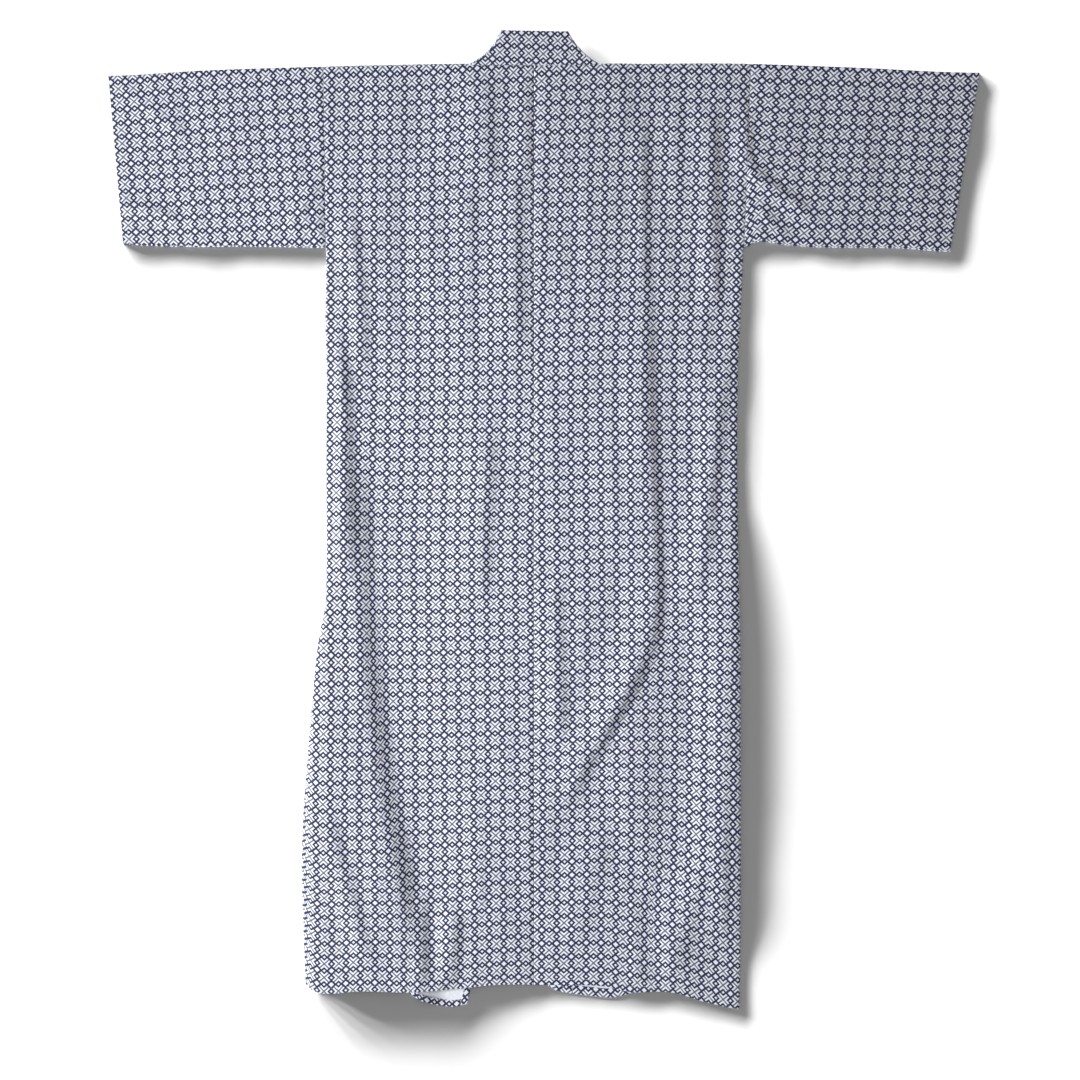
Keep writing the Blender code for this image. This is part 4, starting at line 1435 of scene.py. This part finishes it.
class YUKATA_OT_overlaps(bpy.types.Operator):
    """Make the two front overlaps, with their hem turnings and stitches"""

    bl_idname = "yukata.overlaps"
    bl_label = "Front Overlaps"

    def execute(self, context):
        cloth = context.scene.yukata_cloth
        outside, reverse, thread = cloth_materials(cloth)
        lies_on = {"Overlap_left": ["Floor"], "Overlap_right": ["Overlap_left", "Body_left"]}
        for name, below in lies_on.items():
            side = -1 if name == "Overlap_left" else 1
            strip = overlap_piece(name, side, (outside, reverse), cloth.thickness)
            hem = overlap_hem(name, side, outside, cloth.thickness / 2)
            stitches = overlap_stitches(name, side, thread)
            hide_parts(name)
        return {"FINISHED"}


class YUKATA_OT_sleeves(bpy.types.Operator):
    """Make the two tube sleeves, with their cuff turnings and stitches"""

    bl_idname = "yukata.sleeves"
    bl_label = "Sleeves"

    def execute(self, context):
        cloth = context.scene.yukata_cloth
        outside, reverse, thread = cloth_materials(cloth)
        for sleeve in SLEEVES:
            tube = sleeve_tube(sleeve, (outside, reverse), cloth.thickness)
            hem = cuff_hem(sleeve, outside, cloth.thickness / 2)
            stitches = cuff_stitches(sleeve, thread)
            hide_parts(sleeve.name)
        return {"FINISHED"}


class YUKATA_OT_collar(bpy.types.Operator):
    """Make the folded collar band"""

    bl_idname = "yukata.collar"
    bl_label = "Collar"

    def execute(self, context):
        cloth = context.scene.yukata_cloth
        outside, _, _ = cloth_materials(cloth)
        band = collar_band((outside,), cloth.collar_thickness)
        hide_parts("Collar")
        return {"FINISHED"}


class YUKATA_OT_stage(bpy.types.Operator):
    """Make the floor, the lights, the surround and the camera"""

    bl_idname = "yukata.stage"
    bl_label = "Studio Stage"

    def execute(self, context):
        stage = context.scene.yukata_stage
        floor = self.floor(stage)
        robe = [obj for obj in context.scene.objects if obj.type == "MESH" and obj != floor]
        key = self.lamp("Key light", KEY_PLACE, KEY_SIZE, stage.key_power)
        overhead = self.lamp("Overhead light", OVERHEAD_PLACE, OVERHEAD_SIZE, stage.overhead_power)
        self.light_only(key, robe)
        self.light_only(overhead, robe)
        for turn in SHADOW_TURNS:
            self.light_only(self.shadow_light(stage, turn), [floor])
        context.scene.world = self.surround(stage)
        context.scene.view_settings.view_transform = "Standard"
        self.camera(context)
        return {"FINISHED"}

    def floor(self, stage):
        sheet = bmesh.new()
        bmesh.ops.create_grid(sheet, x_segments=4, y_segments=4, size=FLOOR_REACH)
        floor = mesh_object("Floor", sheet, [backdrop_material(tuple(stage.paper))])
        return floor

    def light_only(self, light, pieces):
        """Lets a light reach these pieces and no others. Everything still casts its shadow."""
        lit = bpy.data.collections.new(light.name + " reaches")
        for piece in pieces:
            lit.objects.link(piece)
        light.light_linking.receiver_collection = lit

    def shadow_light(self, stage, turn):
        """One of a fan of low lights that keep the paper white and lay the robe's shadow on it."""
        light = bpy.data.lights.new("Floor light", "SUN")
        light.angle = SHADOW_SOFTNESS
        light.energy = stage.shadow_light / len(SHADOW_TURNS)
        obj = add_object("Floor light", light)
        from_light = Matrix.Rotation(turn, 3, "Z") @ -Vector(SHADOW_FROM)
        obj.rotation_euler = from_light.to_track_quat("-Z", "Y").to_euler()
        return obj

    def surround(self, stage):
        """Even light from above, and white all round at the horizon."""
        world = bpy.data.worlds.new("Studio surround")
        world.use_nodes = True
        tree = world.node_tree
        direction = tree.nodes.new("ShaderNodeTexCoord").outputs["Generated"]
        split = wire(tree, tree.nodes.new("ShaderNodeSeparateXYZ"), {0: direction})
        rise = tree.nodes.new("ShaderNodeMapRange")
        rise.interpolation_type = "SMOOTHSTEP"
        wire(tree, rise, {
            "Value": split.outputs[2], "From Min": HORIZON[0], "From Max": HORIZON[1],
            "To Min": 1.0, "To Max": stage.surround,
        })
        strength = rise.outputs["Result"]
        wire(tree, tree.nodes["Background"], {"Color": (1.0, 1.0, 1.0, 1), "Strength": strength})
        return world

    def lamp(self, name, place, size, power):
        light = bpy.data.lights.new(name, "AREA")
        light.shape = "DISK"
        light.size = size
        light.energy = power
        obj = add_object(name, light)
        obj.location = place
        obj.rotation_euler = (Vector(LIT_MIDDLE) - Vector(place)).to_track_quat("-Z", "Y").to_euler()
        obj.visible_camera = False
        return obj

    def camera(self, context):
        """Straight above the robe, with a long lens."""
        data = bpy.data.cameras.new("Camera above")
        data.sensor_width = SENSOR
        data.lens = SENSOR * CAMERA_HEIGHT / FRAME_WIDTH
        data.clip_end = VIEW_END
        camera = add_object("Camera above", data)
        camera.location = (*VIEW_CENTRE, CAMERA_HEIGHT)
        context.scene.camera = camera


class YUKATA_PT_panel(bpy.types.Panel):
    """Lists the robe's pieces and its stage"""

    bl_idname = "YUKATA_PT_panel"
    bl_label = "Yukata Robe"
    bl_space_type = "VIEW_3D"
    bl_region_type = "UI"
    bl_category = "Yukata"

    def draw(self, context):
        layout = self.layout
        for settings in (context.scene.yukata_cloth, context.scene.yukata_stage):
            box = layout.box()
            for name in settings.bl_rna.properties.keys():
                if name not in {"rna_type", "name"}:
                    box.prop(settings, name)
        for operator in OPERATORS:
            layout.operator(operator.bl_idname)


OPERATORS = (
    YUKATA_OT_body,
    YUKATA_OT_overlaps,
    YUKATA_OT_sleeves,
    YUKATA_OT_collar,
    YUKATA_OT_stage,
)
CLASSES = (YukataCloth, YukataStage, *OPERATORS, YUKATA_PT_panel)


def register():
    for cls in CLASSES:
        bpy.utils.register_class(cls)
    bpy.types.Scene.yukata_cloth = PointerProperty(type=YukataCloth)
    bpy.types.Scene.yukata_stage = PointerProperty(type=YukataStage)


def unregister():
    del bpy.types.Scene.yukata_stage
    del bpy.types.Scene.yukata_cloth
    for cls in reversed(CLASSES):
        bpy.utils.unregister_class(cls)


def main():
    register()
    bpy.ops.yukata.overlaps()
    bpy.ops.yukata.body()
    bpy.ops.yukata.sleeves()
    bpy.ops.yukata.collar()
    bpy.ops.yukata.stage()


if __name__ == "__main__":
    main()
